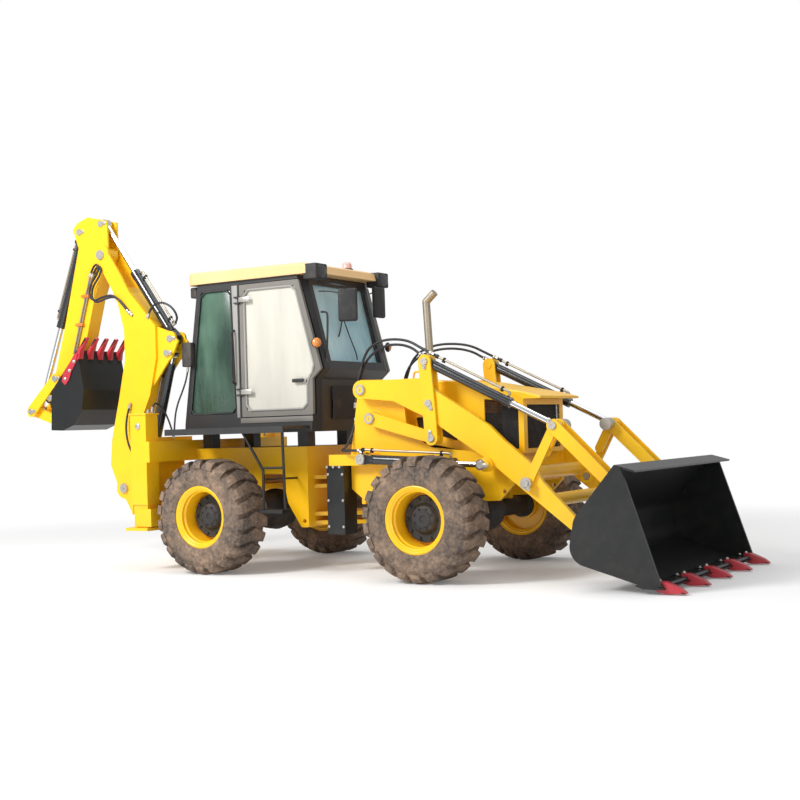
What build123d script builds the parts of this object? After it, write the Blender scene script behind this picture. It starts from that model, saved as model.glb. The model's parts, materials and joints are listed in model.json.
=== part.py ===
"""Articulated backhoe loader with a side-shift backhoe, in millimetres.

x is forward, y is left, z is up. Stations along x are counted from the articulation pivot;
every piece is moved forward by PIVOT_X when it is written, so that the origin lies on the
ground under the middle of the machine.
"""
from build123d import *

import math
import os

# Whole machine
PIVOT_X = 195.0
WHEELBASE_HALF = 1171.0
TRACK = 1958.0
TYRE_R = 535.0
TYRE_W = 410.0
PIN_FIT = 0.05
FACE_GAP = 0.3

# Wheels
RIM_R = 254.0
RIM_FLANGE_R = 292.0
RIM_HALF_W = 181.0
RIM_WALL = 12.0
BEAD_Y = 169.0
RIM_DISC_Y = 64.0
RIM_DISC_T = 18.0
HUB_R = 200.0
HUB_OUT = 20.0
HUB_CAP_R = 105.0
HUB_CAP_OUT = -8.0
HUB_SEAT_R = 140.0
HUB_IN = 120.0
LUGS = 22
LUG_H = 34.0
LUG_W = 118.0
LUG_END_W = 84.0
LUG_SWEEP = -62.0
LUG_ROOT_R = 455.0

# Loader pins, as (x, z) stations in the arm's plane
ARM_PIN = (316.0, 1665.0)
LINK_REAR_PIN = (398.0, 1402.0)
LEVER_PIN = (1040.0, 1518.0)
LINK_FRONT_PIN = (1059.0, 1211.0)
TILT_BASE_PIN = (1011.0, 1886.0)
TILT_EYE_PIN = (2238.0, 1291.0)
FRONT_LEVER_PIN = (1980.0, 816.0)
LIFT_BASE_PIN = (385.0, 1039.0)
LIFT_EYE_PIN = (1592.0, 977.0)
BUCKET_PIN = (2475.0, 400.0)
BUCKET_LINK_PIN = (2700.0, 840.0)

# Loader layers, as half distances across the machine; the lift cylinder runs just inside the tyre
LIFT_R = 45.0
LIFT_Y = TRACK / 2 - TYRE_W / 2 - 14 - LIFT_R
ARM_Y = LIFT_Y - 115
ARM_T = 50.0
LEVER_GAP = 6.0
LEVER_T = 22.0
LINK_T = 30.0
LIFT_ROD_R = 27.0
NECK = 90.0
TILT_R = 42.0
TILT_ROD_R = 27.0
PIN_R = 32.0
BOSS_R = 62.0
PIN_REACH = 61.0
LEVER_PIN_R = 42.0
LEVER_COLLAR_R = 50.0
LEVER_COLLAR = 40.0
LINK_BOSS_R = 55.0
LINK_BOSS = 100.0
BUCKET_BOSS_R = 60.0
BUCKET_BOSS = 150.0
EAR_IN = 33.0
EAR_OUT = 53.0
LINK_IN = 58.0
LINK_OUT = 76.0
CROSS_TUBES = (((1915.0, 893.0), 62.0), ((2170.0, 672.0), 55.0))

# Loader bucket
BUCKET_HALF_W = 1150.0
BUCKET_WALL = 14.0
BUCKET_BACK_R = 240.0
TOOTH_Y = BUCKET_HALF_W - 74
CUTTER_W = 60.0
CUTTER_T = 10.0
TEETH = 5

# Front frame
FRONT_PLATE_Y = ARM_Y - 90
FRONT_PLATE_T = 30.0
HOOD_HALF_W = FRONT_PLATE_Y - 110
SHELF_X = (-60.0, LIFT_BASE_PIN[0] - BOSS_R - 3)

# Rear frame
REAR_PLATE_Y = 410.0
REAR_PLATE_T = 30.0
DECK_Z = 1160.0
REAR_FRONT_X = -460.0
REAR_END_X = -(WHEELBASE_HALF + TYRE_R) - 124
BEAM_DEPTH = 200.0

# Eyes in the frames' side plates where the machine is tied down
TIE_R = 20.0
TIE_FRONT = (1690.0, 740.0)
TIE_REAR = (-510.0, 450.0)

# Articulation hinge: the rear fork's plates and the front tongue between them
HITCH_PIN_R = 35.0
HITCH_EYE_R = 95.0
HITCH_PLATE_T = 36.0
HITCH_GAP = 6.0
HITCH_LEVELS = (820.0, 470.0)

# Cab
CAB_HALF_W = 600.0
CAB_WALL = 40.0
CAB_FLOOR_Z = DECK_Z + 140
CAB_CORNER = (40.0, 110.0)
SCREEN_HALF_W = 436.0

# Doors, as side outlines (x, z), and their hinges
DOORWAY = ((-1085, 2742), (-365, 2742), (-128, 1884), (-228, 1796), (-232, 1452), (-1085, 1452))
DOOR = ((-1079, 2736), (-370, 2736), (-135, 1884), (-234, 1798), (-238, 1458), (-1079, 1458))
GLASS_T = 8.0
DOOR_PANE = ((-1020, 2680), (-415, 2680), (-200, 1880), (-294, 1800), (-298, 1518), (-1020, 1518))
SIDE_WINDOW = ((-1560, 2700), (-1190, 2700), (-1150, 1500), (-1730, 1500))
DOOR_HINGE_X = -1072.0
DOOR_HINGE_Y = 612.0
DOOR_HINGES = (2590.0, 1700.0)

# Mudguards beside the cab, and the ladder's two rails as top, bend and foot (x, z)
GUARD_X = (-1712.0, -290.0)
GUARD_Y = 1010.0
GUARD_Z = (1335.0, 1360.0)
LADDER_Y = -(GUARD_Y - 30.0)
LADDER_R = 13.0
LADDER_X = -WHEELBASE_HALF + TYRE_R
LADDER_RAILS = (
    ((LADDER_X - 152, GUARD_Z[0] - 7.3), (LADDER_X + 91, 955.0), (LADDER_X + 86, 600.0)),
    ((LADDER_X + 318, GUARD_Z[0] - 0.6), (LADDER_X + 326, 955.0), (LADDER_X + 331, 600.0)),
)

# Backhoe, in its own plane across the machine, drawn for beams whose front face is at HOE_DRAWN_AT
HOE_DRAWN_AT = -1830.0
HOE_Y = -640.0
SHIFT_TRAVEL = 1280.0
FOOT_PIN = (-2475.0, 785.0)
BOOM_TIP_PIN = (-2757.0, 3176.0)
BOOM_LUG_PIN = (-1905.0, 2120.0)
DIPPER_BASE_PIN = (-1870.0, 2262.0)
DIPPER_EYE_PIN = (-2774.0, 3502.0)
BUCKET_CYL_PIN = (-3082.0, 3447.0)
DIPPER_TIP_PIN = (-3550.0, 1739.0)
ROCKER_PIN = (-3440.0, 1936.0)
ROCKER_END_PIN = (-3809.0, 1601.0)
HOE_EAR_PIN = (-3407.0, 1465.0)
SWING_X = -2270.0
SWING_EYE_R = 78.0
POST_CYL_PIN = (-2200.0, 1130.0)
SWING_LUGS = ((610, 660), (850, 900))
SWING_KNUCKLES = ((520, 600), (670, 840), (910, 960))
CARRIAGE_HALF = 280.0
BOOM_HALF = 110.0
DIPPER_HALF = 80.0
HOE_BUCKET_HALF = 310.0

HOE_CYL_R = 48.0
HOE_ROD_R = 28.0

# Backhoe cylinders: name, base pin, eye pin, barrel length, shortest length
HOE_CYLINDERS = (
    ("boom", POST_CYL_PIN, BOOM_LUG_PIN, 930, 1033),
    ("dipper", DIPPER_BASE_PIN, DIPPER_EYE_PIN, 880, 977),
    ("hoe_bucket", BUCKET_CYL_PIN, ROCKER_END_PIN, 1040, 1218),
)

# Two beams across the rear, as height ranges
BEAMS = ((1050.0, 1250.0), (430.0, 600.0))

# Stabiliser legs
LEG_X = (REAR_END_X - 240, REAR_END_X - 40)
LEG_Y = (930.0, 1100.0)
LEG_TOP = 1510.0
LEG_WALL = 14.0
LEG_HOUSING_LOW = 640.0
FOOT_Z = 393.0


def side_plane(y):
    """Work plane at y: the sketch's first axis points forward and its second up."""
    return Plane(origin=(0, y, 0), x_dir=(1, 0, 0), z_dir=(0, -1, 0))


def slab(sketch, y_low, y_high):
    return extrude(side_plane(y_high) * sketch, y_high - y_low)


def flat(sketch, z_low, z_high):
    """A plan outline (x, y) between two heights."""
    return extrude(Plane.XY.offset(z_low) * sketch, z_high - z_low)


def outline(points, radius=0.0):
    face = make_face(Polyline(*points, close=True))
    return fillet(face.vertices(), radius) if radius else face


def disc(at, radius):
    return Pos(at[0], at[1]) * Circle(radius)


def strap(a, b, radius_a, radius_b):
    """Two discs and their outer tangents."""
    length = math.dist(a, b)
    along = math.atan2(b[1] - a[1], b[0] - a[0])
    spread = math.acos((radius_a - radius_b) / length)
    corners = []
    for centre, radius, sign in ((a, radius_a, 1), (b, radius_b, 1), (b, radius_b, -1), (a, radius_a, -1)):
        angle = along + sign * spread
        corners.append((centre[0] + radius * math.cos(angle), centre[1] + radius * math.sin(angle)))
    return outline(corners) + disc(a, radius_a) + disc(b, radius_b)


def pin(at, radius, y_low, y_high):
    return slab(disc(at, radius), y_low, y_high)


def rod(a, b, radius):
    """A round bar from point a to point b."""
    a, b = Vector(*a), Vector(*b)
    return Plane(origin=a, z_dir=b - a) * Cylinder(
        radius, (b - a).length, align=(Align.CENTER, Align.CENTER, Align.MIN)
    )


def block(x, y, z):
    """A box from its three pairs of limits."""
    return Pos((x[0] + x[1]) / 2, (y[0] + y[1]) / 2, (z[0] + z[1]) / 2) * Box(
        x[1] - x[0], y[1] - y[0], z[1] - z[0]
    )


def both(part):
    """The part and its mirror image across the machine's middle plane."""
    return part + mirror(part, Plane.XZ)


def between(a, b, share):
    return (a[0] + (b[0] - a[0]) * share, a[1] + (b[1] - a[1]) * share)


def unit(a, b):
    length = math.dist(a, b)
    return ((b[0] - a[0]) / length, (b[1] - a[1]) / length)


def ahead(a, b, distance):
    """The point at a distance from a on the way to b."""
    u = unit(a, b)
    return (a[0] + u[0] * distance, a[1] + u[1] * distance)


def cylinder_pair(base, eye, y, radius, rod_radius, barrel_length, shortest, base_half_w, eye_half_w):
    """Barrel bored for its base pin, and a rod whose filled eye stands clear between the far lugs."""
    base_r = radius + 7
    eye_r = radius + 2
    rest = math.dist(base, eye)
    end = ahead(base, eye, barrel_length)
    collar = ahead(base, eye, barrel_length - 60)
    start = ahead(base, eye, NECK)
    neck_end = ahead(base, eye, NECK + 15)
    barrel = rod((start[0], y, start[1]), (end[0], y, end[1]), radius)
    barrel += rod((collar[0], y, collar[1]), (end[0], y, end[1]), radius + 4)
    barrel += slab(strap(base, neck_end, base_r, radius - 12), y - base_half_w, y + base_half_w)
    bore = ahead(base, eye, NECK + 8)
    beyond = ahead(base, eye, barrel_length + 20)
    barrel -= rod((bore[0], y, bore[1]), (beyond[0], y, beyond[1]), rod_radius + PIN_FIT)
    barrel -= pin(base, PIN_R + PIN_FIT, y - 200, y + 200)
    inner_end = ahead(base, eye, rest - shortest + NECK + 14)
    piston_rod = rod((inner_end[0], y, inner_end[1]), (eye[0], y, eye[1]), rod_radius)
    piston_rod += pin(eye, eye_r, y - eye_half_w, y + eye_half_w)
    return barrel, piston_rod


def tyre():
    """Carcass with a row of chevron lugs that wrap over both shoulders, about the y axis."""
    half_w = TYRE_W / 2
    section = [
        (RIM_R, -BEAD_Y + 11), (RIM_R + 8.3, -BEAD_Y + FACE_GAP), (RIM_FLANGE_R + 1, -BEAD_Y + FACE_GAP),
        (RIM_FLANGE_R + 1, -RIM_HALF_W - 4), (350, -half_w + 4), (420, -half_w + 4), (475, -half_w + 18),
        (TYRE_R - LUG_H, -140), (TYRE_R - LUG_H, 140), (475, half_w - 18), (420, half_w - 4), (350, half_w - 4),
        (RIM_FLANGE_R + 1, RIM_HALF_W + 4), (RIM_FLANGE_R + 1, BEAD_Y - FACE_GAP),
        (RIM_R + 8.3, BEAD_Y - FACE_GAP), (RIM_R, BEAD_Y - 11),
    ]
    carcass = revolve(make_face(Polyline(*section, close=True)), Axis.Y)
    crown = [
        (LUG_ROOT_R, -half_w), (TYRE_R - 50, -half_w), (TYRE_R - 16, -half_w + 22), (TYRE_R, -half_w + 70),
        (TYRE_R, half_w - 70), (TYRE_R - 16, half_w - 22), (TYRE_R - 50, half_w), (LUG_ROOT_R, half_w),
    ]
    envelope = revolve(make_face(Polyline(*crown, close=True)), Axis.Y)
    chevron = outline([
        (LUG_SWEEP + LUG_W / 2, 0), (LUG_END_W / 2, half_w + 5), (-LUG_END_W / 2, half_w + 5),
        (LUG_SWEEP - LUG_W / 2, 0), (-LUG_END_W / 2, -half_w - 5), (LUG_END_W / 2, -half_w - 5),
    ])
    lug = (flat(chevron, LUG_ROOT_R - 40, TYRE_R + 10) & envelope).solids()[0]
    lugs = [Rot(0, n * 360 / LUGS, 0) * lug for n in range(LUGS)]
    return Part() + carcass.fuse(*lugs)


def rim():
    """Rim with its disc set far in and a wide stepped hub, outer side towards -y, about the y axis."""
    wall = RIM_R - RIM_WALL
    section = [
        (0, HUB_CAP_OUT), (HUB_CAP_R - 8, HUB_CAP_OUT), (HUB_CAP_R, HUB_CAP_OUT + 8), (HUB_CAP_R, HUB_OUT),
        (HUB_R - 8, HUB_OUT), (HUB_R, HUB_OUT + 8), (HUB_R, RIM_DISC_Y), (wall - 12, RIM_DISC_Y),
        (wall - 12, -105), (wall, -120), (wall, -150), (RIM_FLANGE_R - 12, -RIM_HALF_W),
        (RIM_FLANGE_R, -RIM_HALF_W + 4), (RIM_FLANGE_R, -BEAD_Y), (RIM_R + 8, -BEAD_Y),
        (RIM_R - FACE_GAP, -BEAD_Y + 11), (RIM_R - FACE_GAP, BEAD_Y - 11), (RIM_R + 8, BEAD_Y),
        (RIM_FLANGE_R, BEAD_Y), (RIM_FLANGE_R, RIM_HALF_W), (wall, 150), (wall, RIM_DISC_Y + RIM_DISC_T),
        (HUB_SEAT_R, RIM_DISC_Y + RIM_DISC_T), (HUB_SEAT_R, HUB_IN), (0, HUB_IN),
    ]
    return revolve(make_face(Polyline(*section, close=True)), Axis.Y)


def axle():
    """Axle housing with its differential, about the y axis."""
    end = TRACK / 2 - HUB_IN - FACE_GAP
    section = [
        (0, -end), (120, -end), (120, -end + 40), (85, -end + 60), (85, -260), (185, -130),
        (205, 0), (185, 130), (85, 260), (85, end - 60), (120, end - 40), (120, end), (0, end),
    ]
    return revolve(make_face(Polyline(*section, close=True)), Axis.Y)


def hitch_plate(reach, width, z_mid, half_t):
    """A plate from a wide root at station reach to an eye round the articulation pin."""
    root = [(reach, -width), (reach, width), (0, HITCH_EYE_R), (0, -HITCH_EYE_R)]
    return flat(outline(root) + disc((0, 0), HITCH_EYE_R), z_mid - half_t, z_mid + half_t)


def axle_seat(x, half_w):
    """Cross member over an axle, with a pad on each side that rests on the axle's tube."""
    top = TYRE_R + 85 + FACE_GAP
    seat_parts = block((x - 160, x + 160), (-half_w, half_w), (TYRE_R + 215, TYRE_R + 265))
    for side in (-1, 1):
        low, high = sorted((side * (half_w - 60), side * half_w))
        seat_parts += block((x - 90, x + 90), (low, high), (top, TYRE_R + 266))
    return seat_parts


def rear_side_plates():
    """The two plates along the rear frame, with their arches over the axle."""
    side = outline([
        (REAR_FRONT_X, DECK_Z), (REAR_FRONT_X, 390), (REAR_FRONT_X - 90, 390), (-700, 620), (-760, 900),
        (-1000, 900), (-1040, 640), (-1300, 640), (-1340, 900), (REAR_END_X, 900), (REAR_END_X, DECK_Z),
    ])
    lower_corners = side.vertices().filter_by(lambda v: v.Y < 650)
    side = fillet(lower_corners, 25) - disc(TIE_REAR, TIE_R)
    return both(slab(side, REAR_PLATE_Y - REAR_PLATE_T, REAR_PLATE_Y))


def rear_frame():
    """Between the side plates: front plate with the hitch fork, deck, cross members and axle saddle."""
    half_w = REAR_PLATE_Y - REAR_PLATE_T
    frame = block((REAR_FRONT_X - 20, REAR_FRONT_X), (-half_w, half_w), (390, DECK_Z))
    frame += block((REAR_END_X, REAR_FRONT_X), (-half_w, half_w), (DECK_Z - 20, DECK_Z))
    frame += axle_seat(-WHEELBASE_HALF, half_w)
    for x in (-800, -1600):
        frame += block((x - 60, x + 60), (-half_w, half_w), (920, DECK_Z - 19))
    frame += block((-WHEELBASE_HALF - 40, -WHEELBASE_HALF + 40), (-150, 150), (TYRE_R + 264, DECK_Z - 19))
    step = HITCH_PLATE_T + HITCH_GAP
    for level in HITCH_LEVELS:
        for z_mid in (level - step, level + step):
            frame += hitch_plate(REAR_FRONT_X, 300, z_mid, HITCH_PLATE_T / 2)
        frame += Pos(0, 0, level) * Cylinder(HITCH_PIN_R, 2 * step + HITCH_PLATE_T + 20)
    return frame


def slide_frame():
    """Two beams across the rear that carry the sliding carriage, with the legs' housings at their ends."""
    frame = block((REAR_END_X - 70, REAR_END_X), (-200, 200), (BEAMS[1][1] - 1, BEAMS[0][0] + 1))
    for low, high in BEAMS:
        frame += block((REAR_END_X - BEAM_DEPTH, REAR_END_X), (-LEG_Y[1], LEG_Y[1]), (low, high))
    inner = block(
        (LEG_X[0] + LEG_WALL, LEG_X[1] - LEG_WALL), (LEG_Y[0] + LEG_WALL, LEG_Y[1] - LEG_WALL), (0, LEG_TOP + 50)
    )
    housing = block(LEG_X, LEG_Y, (LEG_HOUSING_LOW, LEG_TOP)) - inner
    return frame - both(inner) + both(housing)


def front_side_plates():
    """The two plates that stand up as the loader's towers."""
    side = outline([
        (113, 1075), (226, 1760), (680, 1745), (720, 1350), (800, 1220), (960, 1130), (1780, 1045),
        (1780, 800), (1640, 660), (300, 620), (113, 760),
    ])
    side = fillet(side.vertices().filter_by(lambda v: 690 < v.X < 1000), 60)
    side = fillet(side.vertices().filter_by(lambda v: v.Y > 1700), 30) - disc(TIE_FRONT, TIE_R)
    return both(slab(side, FRONT_PLATE_Y - FRONT_PLATE_T, FRONT_PLATE_Y))


def tower_pins():
    """Stepped pins on the towers for the arm, the lower link and the lift cylinder."""
    pins = Part()
    # pin, its boss's end, its own end
    for at, boss_end, pin_end in (
        (ARM_PIN, ARM_Y - ARM_T / 2 - FACE_GAP, ARM_Y + ARM_T / 2 + 20),
        (LINK_REAR_PIN, ARM_Y - LINK_T / 2 - FACE_GAP, ARM_Y + LINK_T / 2 + 20),
        (LIFT_BASE_PIN, LIFT_Y - 45 - FACE_GAP, LIFT_Y + 45 + 12),
    ):
        pins += pin(at, BOSS_R, FRONT_PLATE_Y + FACE_GAP, boss_end)
        pins += pin(at, PIN_R, FRONT_PLATE_Y + FACE_GAP, pin_end)
    return both(pins)


def side_shelves():
    """Shelf on each tower over the side tank."""
    return both(block(SHELF_X, (FRONT_PLATE_Y + FACE_GAP, FRONT_PLATE_Y + 110), (980, 1080)))


def front_frame():
    """Cross members between the towers: hitch carrier with its tongues, bulkhead, axle saddle and nose."""
    half_w = FRONT_PLATE_Y - FRONT_PLATE_T
    frame = block((200, 240), (-half_w, half_w), (620, 1050)) + block((200, 240), (-260, 260), (440, 1050))
    for level in HITCH_LEVELS:
        tongue = hitch_plate(240, 260, level, HITCH_PLATE_T / 2)
        frame += tongue - Pos(0, 0, level) * Cylinder(HITCH_PIN_R + PIN_FIT, 200)
    frame += block((600, 640), (-half_w, half_w), (640, 1250))
    frame += block((1720, 1760), (-half_w, half_w), (800, 1060 - FACE_GAP))
    return frame + axle_seat(WHEELBASE_HALF, half_w)


def side_tank():
    return both(block((-90, 100), (420, 620), (350, 980 - FACE_GAP)))


def engine_block():
    return block((660, 1300), (-260, 260), (TYRE_R + 265 + FACE_GAP, 1420))


def radiator():
    return block((1620, 1780), (-HOOD_HALF_W + 30, HOOD_HALF_W - 30), (1060, 1500))


def hood():
    """Panel with a rounded crown that runs out to a visor, open below and behind."""
    top = outline([
        (645, 1300), (645, 1745), (760, 1745), (1250, 1705), (1850, 1590), (2000, 1550), (2000, 1530),
        (1840, 1530), (1840, 1060), (1400, 1060), (900, 1160),
    ])
    shell = slab(top, -HOOD_HALF_W, HOOD_HALF_W)
    crown = shell.edges().filter_by(lambda e: abs(abs(e.center().Y) - HOOD_HALF_W) < 1)
    crown = crown.filter_by(lambda e: e.center().Z > 1600 and e.center().X > 650)
    shell = fillet(crown, 14)
    inside = outline([(600, 1000), (600, 1720), (1240, 1680), (1815, 1568), (1815, 1000)])
    shell -= slab(inside, -HOOD_HALF_W + 15, HOOD_HALF_W - 15)
    for opening in (
        [(1460, 1100), (1460, 1540), (1790, 1500), (1790, 1100)],
        [(760, 1400), (780, 1290), (1180, 1180), (1180, 1230), (960, 1400)],
    ):
        shell -= slab(outline(opening, 12), -500, 500)
    shell -= block((1800, 1860), (-HOOD_HALF_W + 70, HOOD_HALF_W - 70), (1100, 1480))
    return shell


def exhaust():
    base = rod((700, 0, 1745 + FACE_GAP), (700, 0, 1775), 46)
    stack = rod((698, 0, 1760), (665, 0, 2480), 36)
    return base + stack + rod((665, 0, 2480), (760, 0, 2560), 36) + Pos(665, 0, 2480) * Sphere(36)


def loader_arm():
    side = outline([
        (300, 1745), (985, 1743), (1104, 1623), (1617, 1312), (1757, 1181), (2022, 966), (2110, 823),
        (2500, 430), (2440, 350), (2393, 400), (1560, 1040), (1310, 1200), (1094, 1340), (993, 1399),
        (821, 1475), (666, 1551), (330, 1585),
    ]) + disc(ARM_PIN, 85) + disc(BUCKET_PIN, 60)
    arm = slab(side, ARM_Y - ARM_T / 2, ARM_Y + ARM_T / 2)
    arm += pin(LEVER_PIN, PIN_R, ARM_Y - PIN_REACH, ARM_Y + PIN_REACH)
    arm += pin(LIFT_EYE_PIN, BOSS_R, ARM_Y, LIFT_Y - 50)
    for at in (ARM_PIN, BUCKET_PIN, FRONT_LEVER_PIN):
        arm -= pin(at, PIN_R + PIN_FIT, 500, 700)
    arm -= pin(FRONT_LEVER_PIN, LEVER_PIN_R + PIN_FIT, ARM_Y, 700)
    arm = both(arm)
    for at, radius in CROSS_TUBES:
        arm += pin(at, radius, -ARM_Y, ARM_Y)
    return arm


def lever_pair(shape):
    inner = ARM_T / 2 + LEVER_GAP
    outer = inner + LEVER_T
    return slab(shape, ARM_Y + inner, ARM_Y + outer), slab(shape, ARM_Y - outer, ARM_Y - inner)


def rear_levers():
    shape = strap(TILT_BASE_PIN, LEVER_PIN, BOSS_R, BOSS_R) + strap(LEVER_PIN, LINK_FRONT_PIN, BOSS_R, BOSS_R)
    outer, inner = lever_pair(shape)
    lever = outer + inner - pin(LEVER_PIN, PIN_R + PIN_FIT, 400, 800)
    lever += pin(TILT_BASE_PIN, PIN_R, ARM_Y - PIN_REACH, ARM_Y + PIN_REACH)
    for low, high in ((-PIN_REACH, -ARM_T / 2 - LEVER_GAP), (ARM_T / 2 + LEVER_GAP, PIN_REACH)):
        lever += pin(LINK_FRONT_PIN, PIN_R, ARM_Y + low, ARM_Y + high)
    return both(lever)


def front_levers():
    bar = strap(FRONT_LEVER_PIN, TILT_EYE_PIN, 40, 40)
    bar += disc(FRONT_LEVER_PIN, LEVER_COLLAR_R) + disc(TILT_EYE_PIN, 56)
    outer, inner = lever_pair(bar)
    near = ahead(FRONT_LEVER_PIN, TILT_EYE_PIN, 290)
    far = ahead(FRONT_LEVER_PIN, TILT_EYE_PIN, 325)
    inner &= slab(strap(near, TILT_EYE_PIN, 40, 80), 400, 800)
    reach = ARM_T / 2 + LEVER_GAP + 2
    lever = outer + inner + slab(strap(near, far, 28, 28), ARM_Y - reach, ARM_Y + reach)
    lever -= pin(FRONT_LEVER_PIN, LEVER_PIN_R + PIN_FIT, 400, 800)
    lever -= pin(TILT_EYE_PIN, PIN_R + PIN_FIT, 400, 800)
    return both(lever)


def lower_links():
    link = slab(strap(LINK_REAR_PIN, LINK_FRONT_PIN, 60, 50), ARM_Y - LINK_T / 2, ARM_Y + LINK_T / 2)
    return both(link - pin(LINK_REAR_PIN, PIN_R + PIN_FIT, 500, 700))


def front_lever_pins():
    """Stepped pins with a collar outside the levers' feet."""
    face = ARM_Y + ARM_T / 2 + LEVER_GAP + LEVER_T + FACE_GAP
    pins = pin(FRONT_LEVER_PIN, PIN_R, ARM_Y - ARM_T / 2 - 20, ARM_Y)
    pins += pin(FRONT_LEVER_PIN, LEVER_PIN_R, ARM_Y, face)
    return both(pins + pin(FRONT_LEVER_PIN, LEVER_COLLAR_R, face, face + LEVER_COLLAR))


def link_pins():
    """Four stubs, clear of the tilt rod's eye between the lever plates, the inner two with a long boss."""
    stubs = Part()
    for low, high in ((-LINK_OUT - 6, -ARM_T / 2 - LEVER_GAP - 1), (ARM_T / 2 + LEVER_GAP + 1, LINK_OUT + 6)):
        stubs += pin(TILT_EYE_PIN, PIN_R, ARM_Y + low, ARM_Y + high)
    face = ARM_Y - LINK_OUT - FACE_GAP
    return both(stubs + pin(TILT_EYE_PIN, LINK_BOSS_R, face - LINK_BOSS, face))


def bucket_links():
    shape = strap(TILT_EYE_PIN, BUCKET_LINK_PIN, 55, 50)
    plates = slab(shape, ARM_Y + LINK_IN, ARM_Y + LINK_OUT) + slab(shape, ARM_Y - LINK_OUT, ARM_Y - LINK_IN)
    plates -= pin(TILT_EYE_PIN, PIN_R + PIN_FIT, 400, 800)
    middle = between(TILT_EYE_PIN, BUCKET_LINK_PIN, 0.45)
    web = strap(middle, ahead(middle, BUCKET_LINK_PIN, 80), 25, 25)
    plates += slab(web, ARM_Y - LINK_OUT + 2, ARM_Y + LINK_OUT - 2)
    return both(plates)


def bucket_pins():
    """Pins through the arm and the bucket's ears, with a long boss inside the inner ears."""
    face = ARM_Y - EAR_OUT - FACE_GAP
    pins = pin(BUCKET_PIN, PIN_R, ARM_Y - PIN_REACH, ARM_Y + PIN_REACH)
    return both(pins + pin(BUCKET_PIN, BUCKET_BOSS_R, face - BUCKET_BOSS, face))


def loader_bucket():
    outer = outline([(2965, 980), (2615, 566), (2549, 238), (3167, 61), (3325, 61), (3315, 75), (3018, 965)])
    heel = [(2615, 566), (2549, 238)]
    rounding = [v for v in outer.vertices() if min(math.dist((v.X, v.Y), at) for at in heel) < 1]
    outer = fillet(rounding, 150)
    inner = offset(outer, -BUCKET_WALL)
    mouth = outline([
        (2965, 963), (2900, 700), (3000, 300), (3200, 80), (3500, 80), (3200, 1100), (3010, 1000),
    ])
    bucket = slab(outer, -BUCKET_HALF_W, BUCKET_HALF_W)
    bucket -= slab(inner, -BUCKET_HALF_W + BUCKET_WALL, BUCKET_HALF_W - BUCKET_WALL)
    bucket -= slab(mouth, -BUCKET_HALF_W + BUCKET_WALL, BUCKET_HALF_W - BUCKET_WALL)
    lip = outline([(2945, 957), (2965, 980), (3131, 935), (3127, 921), (2965, 962)])
    bucket += slab(lip, -BUCKET_HALF_W, BUCKET_HALF_W)
    edge = outline([(3100, 62), (3130, 80), (3335, 52), (3335, 40), (3167, 40)])
    bucket += slab(edge, -BUCKET_HALF_W, BUCKET_HALF_W)
    cutter = outline([(3018, 965), (3315, 75), (3315 - CUTTER_W, 75), (3018 - CUTTER_W, 965)])
    bucket += both(slab(cutter, BUCKET_HALF_W - 1, BUCKET_HALF_W + CUTTER_T))
    tooth = outline([(3180, 84), (3300, 78), (3479, 16), (3479, 8), (3320, 24), (3180, 38)])
    for n in range(TEETH):
        y = -TOOTH_Y + 2 * TOOTH_Y * n / (TEETH - 1)
        bucket += slab(tooth, y - 30, y + 30)
    ear = outline([
        (2475, 340), (2420, 400), (2470, 470), (2655, 875), (2700, 890), (2760, 850), (2700, 660), (2640, 320),
    ])
    ear += disc(BUCKET_PIN, 62) + disc(BUCKET_LINK_PIN, 50)
    ear -= offset(outer, -8)
    for low, high in ((-EAR_OUT, -EAR_IN), (EAR_IN, EAR_OUT)):
        for side in (-1, 1):
            ear_plate = slab(ear, side * ARM_Y + low, side * ARM_Y + high)
            bucket += ear_plate - pin(BUCKET_PIN, PIN_R + PIN_FIT, side * ARM_Y + low - 1, side * ARM_Y + high + 1)
    return bucket


def lift_cylinders():
    barrel, piston_rod = cylinder_pair(
        LIFT_BASE_PIN, LIFT_EYE_PIN, LIFT_Y, LIFT_R, LIFT_ROD_R, 950, 1208, LIFT_R - 2, LIFT_R - 5
    )
    return both(barrel), both(piston_rod)


def tilt_cylinders():
    barrel, piston_rod = cylinder_pair(
        TILT_BASE_PIN, TILT_EYE_PIN, ARM_Y, TILT_R, TILT_ROD_R, 905, 1005, 28, 22
    )
    return both(barrel), both(piston_rod)


def cab_shell():
    """Hollow walls whose front corners are cut back to a narrower front face."""
    side = outline([
        (-1805, CAB_FLOOR_Z), (-1805, 1400), (-1600, 2780), (-345, 2780), (-110, 1880), (-205, 1790),
        (-215, CAB_FLOOR_Z),
    ])
    inside = outline([
        (-1765, CAB_FLOOR_Z + 40), (-1765, 1400), (-1565, 2800), (-385, 2800), (-153, 1880), (-245, 1790),
        (-255, CAB_FLOOR_Z + 40),
    ])
    shell = slab(side, -CAB_HALF_W, CAB_HALF_W)
    for flank in (-CAB_HALF_W, CAB_HALF_W):
        wall = [face for face in shell.faces() if abs(face.center().Y - flank) < 1][0]
        front = shell.edges().filter_by(lambda e: abs(e.center().Y - flank) < 1 and e.center().X > -340)
        front = front.filter_by(lambda e: CAB_FLOOR_Z + 1 < e.center().Z < 2779)
        shell = chamfer(front, *CAB_CORNER, reference=wall)
    return shell - slab(inside, -CAB_HALF_W + CAB_WALL, CAB_HALF_W - CAB_WALL)


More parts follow.
